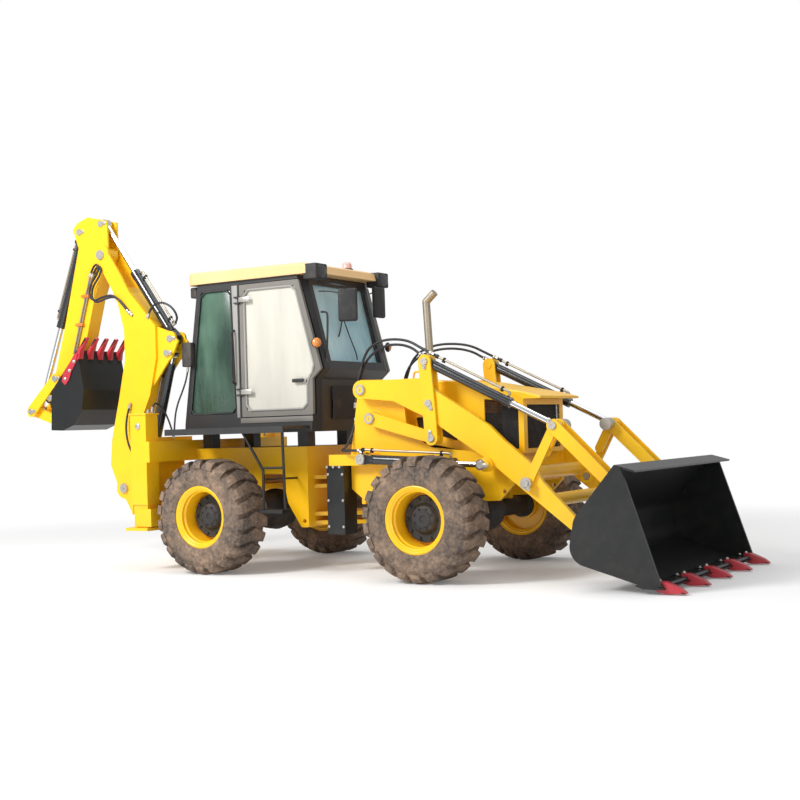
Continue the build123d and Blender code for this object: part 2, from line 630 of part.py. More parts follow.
def cab_frame():
    shell = cab_shell()
    shell -= both(slab(outline(DOORWAY, 20), CAB_HALF_W - 55, 800))
    shell -= slab(outline(SIDE_WINDOW, 25), -800, 800)
    shell -= block((-420, 0), (-SCREEN_HALF_W, SCREEN_HALF_W), (1960, 2690))
    shell -= block((-1900, -1500), (-500, 500), (1640, 2700))
    shell -= block((-300, -100), (-330, 330), (1420, 1720))
    for x in (-1700, REAR_FRONT_X - 60):
        for y in (-330, 330):
            shell += block((x - 60, x + 60), (y - 60, y + 60), (DECK_Z + FACE_GAP, CAB_FLOOR_Z + 20))
    guard = block(GUARD_X, (CAB_HALF_W - 2, GUARD_Y), GUARD_Z)
    guard += block(GUARD_X, (GUARD_Y - 12, GUARD_Y), (GUARD_Z[0] - 35, GUARD_Z[1]))
    return shell + both(guard)


def cab_roof():
    """Roof shell with rounded corners and a rounded edge, which overhangs the walls."""
    low = 2780 + FACE_GAP
    half_w = CAB_HALF_W + 30
    top = outline([(-1735, low), (-1713, 2880), (-1650, 2900), (-300, 2885), (-187, 2850), (-170, low)])
    plan = Pos(-952.5, 0) * RectangleRounded(1565, 2 * half_w, 110)
    roof = slab(top, -half_w, half_w) & flat(plan, low, 2910)
    rim_edges = roof.edges().filter_by(lambda e: e.center().Z > 2840 and abs(abs(e.center().Y) - half_w) < 1)
    return fillet(rim_edges, 25)


def door(side):
    """Framed door with its pane opening, hinges along its rear edge."""
    low, high = sorted((side * (CAB_HALF_W - 34), side * CAB_HALF_W))
    leaf = slab(outline(DOOR, 15), low, high)
    leaf -= slab(outline(DOOR_PANE, 15), low - 1, high + 1)
    for z in DOOR_HINGES:
        y_low, y_high = sorted((side * (CAB_HALF_W - 4), side * (CAB_HALF_W + 24)))
        leaf += block((DOOR_HINGE_X - 2, DOOR_HINGE_X + 90), (y_low, y_high), (z - 20, z + 20))
        leaf -= Pos(DOOR_HINGE_X, side * DOOR_HINGE_Y, z) * Cylinder(9 + PIN_FIT, 60)
    return leaf


def door_glass(side):
    """Pane that fills the door's opening."""
    middle = side * (CAB_HALF_W - 16)
    pane = offset(outline(DOOR_PANE, 15), -FACE_GAP)
    return slab(pane, middle - GLASS_T / 2, middle + GLASS_T / 2)


def hinge_pins():
    pins = Part()
    for side in (-1, 1):
        for z in DOOR_HINGES:
            pins += Pos(DOOR_HINGE_X, side * DOOR_HINGE_Y, z) * Cylinder(9, 60)
            for step in (-28, 28):
                level = (z + step - 6, z + step + 6)
                y_low, y_high = sorted((side * (CAB_HALF_W - 2), side * (DOOR_HINGE_Y + 12)))
                pins += block((DOOR_HINGE_X - 60, DOOR_HINGE_X - 15), (y_low, y_high), level)
                y_low, y_high = sorted((side * (CAB_HALF_W + 5), side * (DOOR_HINGE_Y + 12)))
                pins += block((DOOR_HINGE_X - 16, DOOR_HINGE_X + 9), (y_low, y_high), level)
    return pins


def seat():
    cushion = block((-1150, -680), (-240, 240), (1650, 1780))
    back = outline([(-1150, 1700), (-1050, 1700), (-1130, 2280), (-1220, 2280)])
    pedestal = block((-1080, -760), (-180, 180), (1340 + FACE_GAP, 1651))
    return cushion + slab(back, -230, 230) + pedestal


def controls():
    """Steering column with its wheel, and a console of levers by the seat."""
    column = rod((-430, 0, 1400), (-560, 0, 1960), 35) + block((-470, -370), (-70, 70), (1340 + FACE_GAP, 1500))
    wheel = Plane(origin=(-560, 0, 1960), z_dir=(-0.22, 0, 0.975)) * Torus(190, 14)
    spokes = Plane(origin=(-560, 0, 1960), z_dir=(-0.22, 0, 0.975)) * (Box(380, 24, 12) + Box(24, 380, 12))
    console = block((-1000, -700), (-480, -320), (1340 + FACE_GAP, 1760))
    for x in (-930, -850, -770):
        console += rod((x, -400, 1750), (x + 20, -400, 1930), 9) + Pos(x + 20, -400, 1930) * Sphere(22)
    return column + wheel + spokes + console


def ladder():
    """Bent round rails hung from the right mudguard, two treads, and a stay to the frame."""
    steps = Part()
    for upper, bend, foot in LADDER_RAILS:
        top, corner, low = ((x, LADDER_Y, z) for x, z in (upper, bend, foot))
        steps += rod(top, corner, LADDER_R) + rod(corner, low, LADDER_R) + Pos(*corner) * Sphere(LADDER_R)
    rear_rail, front_rail = LADDER_RAILS
    steps += rod((rear_rail[1][0], LADDER_Y, 980), (front_rail[1][0], LADDER_Y, 980), LADDER_R - 2)
    foot_z = rear_rail[2][1]
    foot_x = (rear_rail[2][0] - 12, front_rail[2][0] + 12)
    steps += block(foot_x, (LADDER_Y - 60, LADDER_Y + 60), (foot_z - 30, foot_z))
    stay_end = (rear_rail[1][0] - 40, -REAR_PLATE_Y - 1, 862)
    steps += rod((rear_rail[1][0], LADDER_Y, 872), stay_end, LADDER_R - 3)
    return steps


def carriage():
    """Plate that slides along the two beams, with the two lugs and the pin the backhoe swings on."""
    low, high = HOE_Y - CARRIAGE_HALF, HOE_Y + CARRIAGE_HALF
    plate = block((-2085, -2040), (low, high), (460, 1290))
    plate += block((-2086, -1930), (low, high), (BEAMS[0][1] + FACE_GAP, 1290))
    plate += block((-2086, -1950), (low, high), (BEAMS[1][1] + FACE_GAP, 640))
    for low_z, high_z in SWING_LUGS:
        lug = outline([
            (-2080, HOE_Y - 180), (-2080, HOE_Y + 180), (-2110, HOE_Y + 90), (SWING_X, HOE_Y + SWING_EYE_R),
            (SWING_X, HOE_Y - SWING_EYE_R), (-2110, HOE_Y - 90),
        ])
        plate += flat(lug + disc((SWING_X, HOE_Y), SWING_EYE_R), low_z, high_z)
    return plate + Pos(SWING_X, HOE_Y, 740) * Cylinder(35, 470)


def swing_post():
    post = Part()
    for low_z, high_z in SWING_KNUCKLES:
        knuckle = outline([(-2380, -140), (-2380, 140), (SWING_X, SWING_EYE_R), (SWING_X, -SWING_EYE_R)])
        post += flat(Pos(0, HOE_Y) * (knuckle + disc((SWING_X, 0), SWING_EYE_R)), low_z, high_z)
    post -= Pos(SWING_X, HOE_Y, 740) * Cylinder(35 + PIN_FIT, 900)
    cheek = outline([(-2475, 690), (-2365, 520), (-2365, 1000), (-2475, 900)]) + disc(FOOT_PIN, 105)
    for side in (-1, 1):
        low, high = sorted((HOE_Y + side * 118, HOE_Y + side * 140))
        post += slab(cheek, low, high)
        lug = outline([(-2378, 905), (-2378, 1000), (-2250, 1180), (-2150, 1160), (-2150, 1080), (-2230, 905)])
        low, high = sorted((HOE_Y + side * 58, HOE_Y + side * 85))
        post += slab(lug + disc(POST_CYL_PIN, 60), low, high)
    post += pin(POST_CYL_PIN, PIN_R, HOE_Y - 95, HOE_Y + 95)
    post += pin(FOOT_PIN, 40, HOE_Y - 150, HOE_Y + 150)
    return post


def boom():
    main = outline([
        (-2607, 2803), (-2530, 2644), (-2456, 2384), (-2453, 2080), (-2550, 1678), (-2661, 1274), (-2684, 1020),
        (-2594, 815), (-2540, 722), (-2392, 755), (-2400, 1000), (-2360, 1250), (-2227, 1516), (-2126, 1713),
        (-2035, 2080), (-2035, 2400), (-2374, 2763), (-2491, 2946), (-2660, 3190), (-2800, 3100),
    ]) + disc(FOOT_PIN, 88)
    fork = main + disc(BOOM_TIP_PIN, 105)
    body = slab(fork, HOE_Y - BOOM_HALF, HOE_Y + BOOM_HALF)
    body -= slab(disc(BOOM_TIP_PIN, 500), HOE_Y - 88, HOE_Y + 88)
    knee = outline([(-2100, 1800), (-1821, 2125), (-1765, 2231), (-1853, 2325), (-2075, 2409), (-2200, 2400)])
    for side in (-1, 1):
        low, high = sorted((HOE_Y + side * 60, HOE_Y + side * 85))
        body += slab(knee + disc(BOOM_LUG_PIN, 70) + disc(DIPPER_BASE_PIN, 75), low, high)
    body += pin(DIPPER_BASE_PIN, PIN_R, HOE_Y - 95, HOE_Y + 95)
    for side in (-1, 1):
        low, high = sorted((HOE_Y + side * 84, HOE_Y + side * 97))
        body += pin(BOOM_LUG_PIN, 40, low, high)
    body -= pin(FOOT_PIN, 40 + PIN_FIT, HOE_Y - 200, HOE_Y + 200)
    return body + pin(BOOM_TIP_PIN, 45, HOE_Y - 125, HOE_Y + 125)


def dipper():
    side = outline([
        (-3175, 3480), (-3110, 3540), (-2957, 3589), (-2689, 3521), (-2680, 3250), (-2720, 3100), (-2890, 2730),
        (-3055, 2195), (-3269, 1914), (-3500, 1680), (-3600, 1760), (-3490, 1960), (-3310, 2520), (-3095, 3280),
    ]) + disc(DIPPER_TIP_PIN, 65) + disc(BUCKET_CYL_PIN, 65)
    core = outline([
        (-3075, 3150), (-2700, 3150), (-2890, 2730), (-3055, 2195), (-3269, 1914), (-3500, 1680), (-3600, 1760),
        (-3490, 1960), (-3310, 2520), (-3130, 3150),
    ]) + disc(BOOM_TIP_PIN, 80) + disc(DIPPER_TIP_PIN, 65)
    body = slab(core, HOE_Y - 62, HOE_Y + 62)
    for way in (-1, 1):
        low, high = sorted((HOE_Y + way * 60, HOE_Y + way * DIPPER_HALF))
        body += slab(side, low, high)
    body -= pin(BOOM_TIP_PIN, 45 + PIN_FIT, HOE_Y - 200, HOE_Y + 200)
    body += pin(BUCKET_CYL_PIN, PIN_R, HOE_Y - DIPPER_HALF, HOE_Y + DIPPER_HALF)
    body += pin(ROCKER_PIN, PIN_R, HOE_Y - 138, HOE_Y + 138)
    return body + pin(DIPPER_TIP_PIN, 40, HOE_Y - 110, HOE_Y + 110)


def rocker():
    plates = Part()
    for side in (-1, 1):
        low, high = sorted((HOE_Y + side * 114, HOE_Y + side * 132))
        plates += slab(strap(ROCKER_PIN, ROCKER_END_PIN, 55, 60), low, high)
    for at in (ROCKER_PIN, ROCKER_END_PIN):
        plates -= pin(at, PIN_R + PIN_FIT, HOE_Y - 200, HOE_Y + 200)
    return plates


def hoe_link():
    """Fork at the rocker's end, and a wide eye between the bucket's ears."""
    fork = strap(ROCKER_END_PIN, HOE_EAR_PIN, 55, 48)
    link = slab(fork, HOE_Y - 78, HOE_Y + 78)
    link -= slab(disc(ROCKER_END_PIN, 190), HOE_Y - 42, HOE_Y + 42)
    for side in (-1, 1):
        low, high = sorted((HOE_Y + side * 77, HOE_Y + side * 138))
        link += pin(ROCKER_END_PIN, PIN_R, low, high)
    return link


def hoe_bucket():
    outer = outline([
        (-2926, 2188), (-2876, 1979), (-2840, 1792), (-2872, 1590), (-2995, 1436), (-3150, 1385), (-3317, 1392),
        (-3300, 1800),
    ])
    inner = offset(outer, -12)
    mouth = outline([(-2945, 2150), (-3288, 1760), (-3400, 1900), (-3000, 2300)])
    low, high = HOE_Y - HOE_BUCKET_HALF, HOE_Y + HOE_BUCKET_HALF
    bucket = slab(outer, low, high) - slab(inner + mouth, low + 12, high - 12)
    lip = outline([(-2876, 1979), (-2892, 1975), (-2950, 2180), (-2926, 2200)])
    bucket += slab(lip, low, high)
    tooth = outline([(-2950, 2150), (-2915, 2050), (-2895, 2050), (-2900, 2190), (-2800, 2310), (-2815, 2318)])
    for n in range(5):
        y = low + 30 + (2 * HOE_BUCKET_HALF - 60) * n / 4
        bucket += slab(tooth, y - 25, y + 25)
    ear = outline([(-3550, 1679), (-3420, 1420), (-3300, 1405), (-3290, 1780), (-3540, 1799)])
    ear += disc(DIPPER_TIP_PIN, 62) + disc(HOE_EAR_PIN, 50)
    for side in (-1, 1):
        low, high = sorted((HOE_Y + side * 88, HOE_Y + side * 108))
        bucket += slab(ear, low, high) - pin(DIPPER_TIP_PIN, 40 + PIN_FIT, low - 1, high + 1)
    return bucket


def leg(side):
    mid = side * (LEG_Y[0] + LEG_Y[1]) / 2
    half = (LEG_Y[1] - LEG_Y[0]) / 2 - LEG_WALL - FACE_GAP
    walls = (LEG_X[0] + LEG_WALL + FACE_GAP, LEG_X[1] - LEG_WALL - FACE_GAP)
    tube = block(walls, (mid - half, mid + half), (FOOT_Z + 20, 1380))
    return tube + block((LEG_X[0] - 40, LEG_X[1] + 40), (mid - 140, mid + 140), (FOOT_Z, FOOT_Z + 28))


def placed_wheels():
    places = {}
    for name, x in (("front", WHEELBASE_HALF), ("rear", -WHEELBASE_HALF)):
        for hand, side in (("right", -1), ("left", 1)):
            places[f"{name}_{hand}"] = (x, side)
    return places


def main():
    os.makedirs("parts", exist_ok=True)
    nodes = {}
    tread = tyre()
    disc_wheel = rim()
    for place, (x, side) in placed_wheels().items():
        seat_at = Pos(x, side * TRACK / 2, TYRE_R)
        nodes[f"tyre_{place}"] = seat_at * tread
        nodes[f"rim_{place}"] = seat_at * Rot(0, 0, 180 if side > 0 else 0) * disc_wheel
    nodes["rear_side_plates"] = rear_side_plates()
    nodes["rear_frame"] = rear_frame()
    nodes["slide_frame"] = slide_frame()
    nodes["front_side_plates"] = front_side_plates()
    nodes["tower_pins"] = tower_pins()
    nodes["side_shelves"] = side_shelves()
    nodes["front_frame"] = front_frame()
    nodes["rear_axle"] = Pos(-WHEELBASE_HALF, 0, TYRE_R) * axle()
    nodes["front_axle"] = Pos(WHEELBASE_HALF, 0, TYRE_R) * axle()
    nodes["side_tank"] = side_tank()
    nodes["engine_block"] = engine_block()
    nodes["radiator"] = radiator()
    nodes["hood"] = hood()
    nodes["exhaust"] = exhaust()
    nodes["cab_frame"] = cab_frame() + hinge_pins()
    nodes["cab_roof"] = cab_roof()
    nodes["door_right"] = door(-1)
    nodes["door_left"] = door(1)
    nodes["door_glass_right"] = door_glass(-1)
    nodes["door_glass_left"] = door_glass(1)
    nodes["seat"] = seat()
    nodes["controls"] = controls()
    nodes["ladder"] = ladder()
    nodes["loader_arm"] = loader_arm()
    nodes["lower_links"] = lower_links()
    nodes["rear_levers"] = rear_levers()
    nodes["front_lever_pins"] = front_lever_pins()
    nodes["front_levers"] = front_levers()
    nodes["link_pins"] = link_pins()
    nodes["bucket_links"] = bucket_links()
    nodes["bucket_pins"] = bucket_pins()
    nodes["loader_bucket"] = loader_bucket()
    nodes["lift_barrels"], nodes["lift_rods"] = lift_cylinders()
    nodes["tilt_barrels"], nodes["tilt_rods"] = tilt_cylinders()
    hoe = {
        "carriage": carriage(), "swing_post": swing_post(), "boom": boom(), "dipper": dipper(),
        "rocker": rocker(), "hoe_link": hoe_link(), "hoe_bucket": hoe_bucket(),
    }
    for name, base, eye, length, shortest in HOE_CYLINDERS:
        pair = cylinder_pair(base, eye, HOE_Y, HOE_CYL_R, HOE_ROD_R, length, shortest, 50, 30)
        hoe[f"{name}_barrel"], hoe[f"{name}_rod"] = pair
    for name, piece in hoe.items():
        nodes[name] = Pos(REAR_END_X - HOE_DRAWN_AT, 0, 0) * piece
    nodes["leg_right"] = leg(-1)
    nodes["leg_left"] = leg(1)
    for name, piece in nodes.items():
        export_step(Pos(PIVOT_X, 0, 0) * piece, f"parts/{name}.step")


if __name__ == "__main__":
    main()
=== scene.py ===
"""Looks for the articulated backhoe loader: paint, rubber, glass, pipes, hoses and small fittings."""
import json
import math

import bpy
from mathutils import Matrix, Vector


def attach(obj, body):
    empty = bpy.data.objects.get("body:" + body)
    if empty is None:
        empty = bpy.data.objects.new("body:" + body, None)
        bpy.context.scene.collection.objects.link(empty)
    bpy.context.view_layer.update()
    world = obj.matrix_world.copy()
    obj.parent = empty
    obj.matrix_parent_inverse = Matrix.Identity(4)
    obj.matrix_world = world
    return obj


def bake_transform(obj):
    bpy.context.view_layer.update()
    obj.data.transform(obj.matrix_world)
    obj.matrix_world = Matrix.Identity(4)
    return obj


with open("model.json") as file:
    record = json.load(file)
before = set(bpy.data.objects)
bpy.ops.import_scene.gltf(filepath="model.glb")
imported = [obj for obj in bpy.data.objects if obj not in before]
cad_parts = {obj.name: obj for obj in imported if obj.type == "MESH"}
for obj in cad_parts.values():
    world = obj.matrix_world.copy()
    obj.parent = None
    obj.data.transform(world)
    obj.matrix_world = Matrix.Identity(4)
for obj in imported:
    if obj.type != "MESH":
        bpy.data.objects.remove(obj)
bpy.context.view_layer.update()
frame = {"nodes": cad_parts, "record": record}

# Stations along x are counted from the articulation pivot, in metres
PIVOT = 0.195
HOE_Y = -0.64
ARM_Y = 0.6


class Socket:
    """A shader value; arithmetic on it adds Math nodes."""

    def __init__(self, tree, socket):
        self.tree = tree
        self.socket = socket

    def _math(self, operation, *values, clamp=False):
        node = self.tree.nodes.new("ShaderNodeMath")
        node.operation = operation
        node.use_clamp = clamp
        for slot, value in zip(node.inputs, values):
            if isinstance(value, Socket):
                self.tree.links.new(value.socket, slot)
            else:
                slot.default_value = value
        return Socket(self.tree, node.outputs[0])

    def __add__(self, other):
        return self._math("ADD", self, other)

    def __radd__(self, other):
        return self._math("ADD", other, self)

    def __sub__(self, other):
        return self._math("SUBTRACT", self, other)

    def __rsub__(self, other):
        return self._math("SUBTRACT", other, self)

    def __mul__(self, other):
        return self._math("MULTIPLY", self, other)

    def __rmul__(self, other):
        return self._math("MULTIPLY", other, self)

    def step(self, low, high):
        """0 below low, 1 above high, a straight ramp between."""
        return self._math("MULTIPLY_ADD", self, 1 / (high - low), -low / (high - low), clamp=True)

    def clamp(self):
        return self._math("ADD", self, 0.0, clamp=True)


class Finish:
    """A material whose nodes are added by one call each."""

    def __init__(self, name):
        self.material = bpy.data.materials.new(name)
        self.material.use_nodes = True
        self.tree = self.material.node_tree
        self.shader = self.tree.nodes["Principled BSDF"]
        self.output = self.tree.nodes["Material Output"]
        self.place = self.node("ShaderNodeTexCoord").outputs["Object"]

    def node(self, kind, settings=None, **values):
        node = self.tree.nodes.new(kind)
        for key, value in (settings or {}).items():
            setattr(node, key, value)
        for key, value in values.items():
            self.put(node.inputs[key.replace("_", " ")], value)
        return node

    def put(self, slot, value):
        if isinstance(value, Socket):
            value = value.socket
        if isinstance(value, bpy.types.NodeSocket):
            self.tree.links.new(value, slot)
        else:
            slot.default_value = value

    def noise(self, scale, detail=3.0, rough=0.55, vector=None):
        node = self.node(
            "ShaderNodeTexNoise", None, Vector=vector or self.place, Scale=scale, Detail=detail,
            Roughness=rough,
        )
        return Socket(self.tree, node.outputs[0])

    def stretched(self, x, y, z):
        node = self.node("ShaderNodeVectorMath", {"operation": "MULTIPLY"})
        self.put(node.inputs[0], self.place)
        node.inputs[1].default_value = (x, y, z)
        return node.outputs[0]

    def axis(self, name):
        node = self.node("ShaderNodeSeparateXYZ")
        self.put(node.inputs[0], self.place)
        return Socket(self.tree, node.outputs[name])

    def mix(self, share, low, high):
        node = self.node("ShaderNodeMix", {"data_type": "RGBA"})
        self.put(node.inputs["Factor"], share)
        for slot, value in ((node.inputs[6], low), (node.inputs[7], high)):
            self.put(slot, value if isinstance(value, bpy.types.NodeSocket) else (*value, 1))
        return node.outputs[2]

    def bump(self, height, strength=0.3, distance=0.002):
        node = self.node("ShaderNodeBump", None, Height=height)
        node.inputs["Strength"].default_value = strength
        node.inputs["Distance"].default_value = distance
        self.put(self.shader.inputs["Normal"], node.outputs[0])

    def set(self, **values):
        for key, value in values.items():
            self.put(self.shader.inputs[key.replace("_", " ")], value)


def paint(name, colour, deep, rough=0.32, coat=0.35, dust=0.25):
    """Sprayed enamel: slight orange peel, and dust that is thicker low down."""
    finish = Finish(name)
    broad = finish.noise(1.3, 4.0)
    fine = finish.noise(60.0, 2.0)
    low = 1 - finish.axis("Z").step(0.25, 1.3)
    film = (low * 0.5 + 0.12) * finish.noise(9.0, 5.0, 0.65).step(0.42, 0.72) * dust
    tone = finish.mix(broad.step(0.35, 0.7), deep, colour)
    tone = finish.mix(film, tone, (0.42, 0.33, 0.22))
    gloss = (film * 0.6 + rough + (fine - 0.5) * 0.06).clamp()
    finish.set(Base_Color=tone, Roughness=gloss, Coat_Weight=coat)
    finish.shader.inputs["Coat Roughness"].default_value = 0.12
    finish.bump(fine * 0.5 + finish.noise(14.0) * 0.5, 0.06, 0.003)
    return finish.material


def chrome(name):
    finish = Finish(name)
    haze = finish.noise(30.0, 2.0, 0.5)
    finish.set(Base_Color=(0.80, 0.82, 0.84, 1), Metallic=1.0, Roughness=(haze * 0.06 + 0.09))
    return finish.material


def bare_metal(name, colour, rough=0.4):
    finish = Finish(name)
    brushed = finish.noise(50.0, 3.0, 0.6, finish.stretched(1, 1, 8))
    tone = finish.mix(finish.noise(6.0), colour, tuple(c * 0.75 for c in colour))
    finish.set(Base_Color=tone, Metallic=0.85, Roughness=(brushed * 0.2 + rough))
    finish.bump(brushed, 0.1, 0.001)
    return finish.material


def dusty_rubber(name):
    """Black rubber with dried earth on it in patches."""
    finish = Finish(name)
    broad = finish.noise(3.0, 6.0, 0.6)
    fine = finish.noise(35.0, 8.0, 0.7)
    dust = (broad * 0.5 + fine * 0.5).step(0.38, 0.62)
    earth = finish.mix(finish.noise(12.0, 4.0).step(0.3, 0.7), (0.24, 0.165, 0.115), (0.42, 0.29, 0.20))
    tone = finish.mix(dust * 0.85, (0.07, 0.062, 0.058), earth)
    finish.set(Base_Color=tone, Roughness=0.92)
    finish.shader.inputs["Specular IOR Level"].default_value = 0.2
    finish.bump(fine * 0.6 + finish.noise(110.0, 4.0) * 0.4, 0.5, 0.004)
    return finish.material


def casting(name, colour, rough=0.6):
    finish = Finish(name)
    grain = finish.noise(70.0, 6.0, 0.7)
    dust = finish.noise(5.0, 5.0).step(0.5, 0.8) * 0.35
    finish.set(Base_Color=finish.mix(dust, colour, (0.25, 0.19, 0.13)), Roughness=(grain * 0.2 + rough - 0.1))
    finish.bump(grain, 0.25, 0.002)
    return finish.material


def woven(name, colour):
    finish = Finish(name)
    weave = finish.noise(400.0, 2.0)
    finish.set(Base_Color=finish.mix(weave, colour, tuple(c * 1.8 for c in colour)), Roughness=0.9)
    finish.shader.inputs["Sheen Weight"].default_value = 0.3
    finish.bump(weave, 0.4, 0.001)
    return finish.material


def glazing(name, tint, cover, rough, glint):
    """Thin tinted pane: partly see-through, with a painted reflection: a glint colour laid over the tint in
    soft vertical streaks and clouds.
    """
    finish = Finish(name)
    streak = finish.noise(2.2, 4.0, 0.6, finish.stretched(1.6, 1.6, 0.35))
    cloud = finish.noise(1.1, 3.0)
    # painted reflection: the glint colour is mixed over the tint where the streaks and clouds are strong
    tone = finish.mix((streak * 0.6 + cloud * 0.4).step(0.42, 0.62), tint, glint)
    gloss = (cloud * 0.15 + rough).clamp()
    finish.set(Base_Color=tone, Roughness=gloss, Alpha=((cloud - 0.5) * 0.25 + cover).clamp())
    return finish.material


def rubber(name, colour):
    finish = Finish(name)
    grain = finish.noise(90.0, 4.0, 0.6)
    dust = finish.noise(7.0, 4.0).step(0.5, 0.75) * 0.4
    tone = finish.mix(dust, colour, tuple(c * 0.6 + 0.12 for c in colour))
    finish.set(Base_Color=tone, Roughness=(grain * 0.2 + 0.45))
    finish.bump(grain, 0.15, 0.001)
    return finish.material


def lens(name, colour):
    """Moulded lamp lens with fine flutes."""
    finish = Finish(name)
    flutes = finish.noise(120.0, 1.0, 0.3, finish.stretched(0.2, 1, 1))
    tone = finish.mix(flutes, tuple(c * 0.7 for c in colour), colour)
    finish.set(Base_Color=tone, Roughness=(flutes * 0.1 + 0.08), Coat_Weight=0.6)
    finish.bump(flutes, 0.4, 0.001)
    return finish.material


FINISHES = {
    "yellow_paint": paint("yellow enamel", (0.97, 0.58, 0.006), (0.93, 0.50, 0.004), 0.36, 0.15, 0.15),
    "black_paint": paint("black enamel", (0.006, 0.007, 0.008), (0.004, 0.005, 0.006), 0.38, 0.1, 0.05),
    "charcoal_paint": paint("charcoal enamel", (0.032, 0.032, 0.034), (0.022, 0.022, 0.024), 0.42, 0.1, 0.1),
    "cylinder_paint": paint(
        "gloss black enamel", (0.016, 0.018, 0.022), (0.012, 0.014, 0.018), 0.22, 0.5, 0.08
    ),
    "rod_chrome": chrome("hard chrome"),
    "tyre_rubber": dusty_rubber("dusty rubber"),
    "roof_cream": paint("pale cream enamel", (0.80, 0.54, 0.26), (0.77, 0.49, 0.21), 0.45, 0.1, 0.05),
    "pipe_steel": bare_metal("heat-dulled steel", (0.46, 0.40, 0.31), 0.35),
    "cast": casting("black casting", (0.022, 0.022, 0.024)),
    "seat_cover": woven("dark woven cover", (0.03, 0.03, 0.034)),
    "black_plastic": casting("matt black plastic", (0.02, 0.02, 0.022), 0.65),
    "pin_steel": bare_metal("bright turned steel", (0.62, 0.60, 0.55), 0.3),
    # each pane's last colour is its painted reflection, laid over the tint in streaks
    "door_glass": glazing("milky dusty glass", (0.66, 0.64, 0.56), 0.88, 0.5, (0.56, 0.54, 0.47)),
    "side_glass": glazing("dark green glass", (0.030, 0.060, 0.045), 0.86, 0.12, (0.09, 0.17, 0.12)),
    "screen_glass": glazing("blue-green screen", (0.34, 0.58, 0.68), 0.84, 0.08, (0.60, 0.80, 0.84)),
    "seal_grey": rubber("dusty grey seal", (0.30, 0.29, 0.27)),
    "seal_black": rubber("black rubber", (0.020, 0.020, 0.021)),
    "hose_rubber": rubber("black hose", (0.016, 0.016, 0.018)),
    "amber_lens": lens("amber lens", (0.85, 0.30, 0.05)),
    "clear_lens": lens("clear lens", (0.80, 0.82, 0.85)),
    "mirror": chrome("mirror glass"),
    "amber_paint": paint("clamp orange", (0.80, 0.25, 0.03), (0.60, 0.16, 0.02), 0.4, 0.2, 0.2),
    "brown_dust": casting("dusty brown mesh", (0.115, 0.070, 0.045), 0.75),
    "red_paint": paint("tooth red", (0.56, 0.030, 0.055), (0.42, 0.02, 0.035), 0.35, 0.2, 0.15),
    "door_grey": paint("dusty door enamel", (0.20, 0.185, 0.165), (0.15, 0.140, 0.125), 0.5, 0.1, 0.3),
    "beacon_pink": lens("faded beacon", (0.85, 0.50, 0.42)),
}
slot_of = {row["node"]: row["material_slot"] for row in frame["record"]["subparts"]}
for node_name, node_object in frame["nodes"].items():
    look = "door_grey" if node_name in ("door_left", "door_right") else slot_of[node_name]
    node_object.data.materials.clear()
    node_object.data.materials.append(FINISHES[look])


# Pins in the loader arm's plane and in the backhoe's plane, as (x, z)
ARM_PIN = (0.316, 1.665)
LINK_REAR_PIN = (0.398, 1.402)
LEVER_PIN = (1.040, 1.518)
LINK_FRONT_PIN = (1.059, 1.211)
TILT_BASE_PIN = (1.011, 1.886)
TILT_EYE_PIN = (2.238, 1.291)
FRONT_LEVER_PIN = (1.980, 0.816)
LIFT_BASE_PIN = (0.385, 1.039)
LIFT_EYE_PIN = (1.592, 0.977)
BUCKET_LINK_PIN = (2.700, 0.840)
FOOT_PIN = (-2.475, 0.785)
BOOM_TIP_PIN = (-2.757, 3.176)
BOOM_LUG_PIN = (-1.905, 2.120)
DIPPER_BASE_PIN = (-1.870, 2.262)
DIPPER_EYE_PIN = (-2.774, 3.502)
BUCKET_CYL_PIN = (-3.082, 3.447)
DIPPER_TIP_PIN = (-3.550, 1.739)
ROCKER_PIN = (-3.440, 1.936)
ROCKER_END_PIN = (-3.809, 1.601)
HOE_EAR_PIN = (-3.407, 1.465)
POST_CYL_PIN = (-2.200, 1.130)

# Other stations, in metres
LIFT_Y = 0.715
AXLE_X = 1.171
AXLE_Z = 0.535
HUB_FACE_Y = 0.9585
TILT_HOSE_R = 0.012
HOE_HOSE_R = 0.011
THIN_HOSE_R = 0.009
MESH_BAR = 0.004

# The buckets' teeth: how many, how far out the last ones are, and their caps' taper and bolts
TEETH = 5
TOOTH_Y = 1.076
HOE_TOOTH_Y = 0.280
TOOTH_TAPER = 0.45
TOOTH_BOLT = ((0, 0.017), (0.004, 0.018), (0.008, 0.013), (0.014, 0.013), (0.017, 0.009))


def at(x, y, z):
    """A station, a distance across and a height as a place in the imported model's frame."""
    return Vector((x + PIVOT, y, z))


def spot(pin, y):
    """A pin's place across the machine."""
    return at(pin[0], y, pin[1])


def added(name, add, **where):
    """A primitive as the start of a piece, alone in the selection."""
    bpy.ops.object.select_all(action="DESELECT")
    add(**where)
    piece = bpy.context.object
    piece.name = name
    return piece


def modified(piece, kind, **settings):
    """Adds a modifier, sets it and applies it."""
    bpy.context.view_layer.objects.active = piece
    modifier = piece.modifiers.new(kind.lower(), kind)
    for key, value in settings.items():
        setattr(modifier, key, value)
    bpy.ops.object.modifier_apply(modifier=modifier.name)
    return piece


def rounded(piece, width, segments=2, angle=35):
    limit = math.radians(angle)
    modified(piece, "BEVEL", width=width, segments=segments, limit_method="ANGLE", angle_limit=limit)
    return smooth(piece)


def smooth(piece, angle=35):
    bpy.ops.object.select_all(action="DESELECT")
    piece.select_set(True)
    bpy.context.view_layer.objects.active = piece
    bpy.ops.object.shade_smooth_by_angle(angle=math.radians(angle))
    return piece


def placed(piece, matrix):
    piece.data.transform(matrix)
    if matrix.to_3x3().determinant() < 0:
        piece.data.flip_normals()
    return piece


def joined(name, pieces):
    bpy.ops.object.select_all(action="DESELECT")
    for piece in pieces:
        piece.select_set(True)
    bpy.context.view_layer.objects.active = pieces[0]
    bpy.ops.object.join()
    pieces[0].name = name
    return pieces[0]


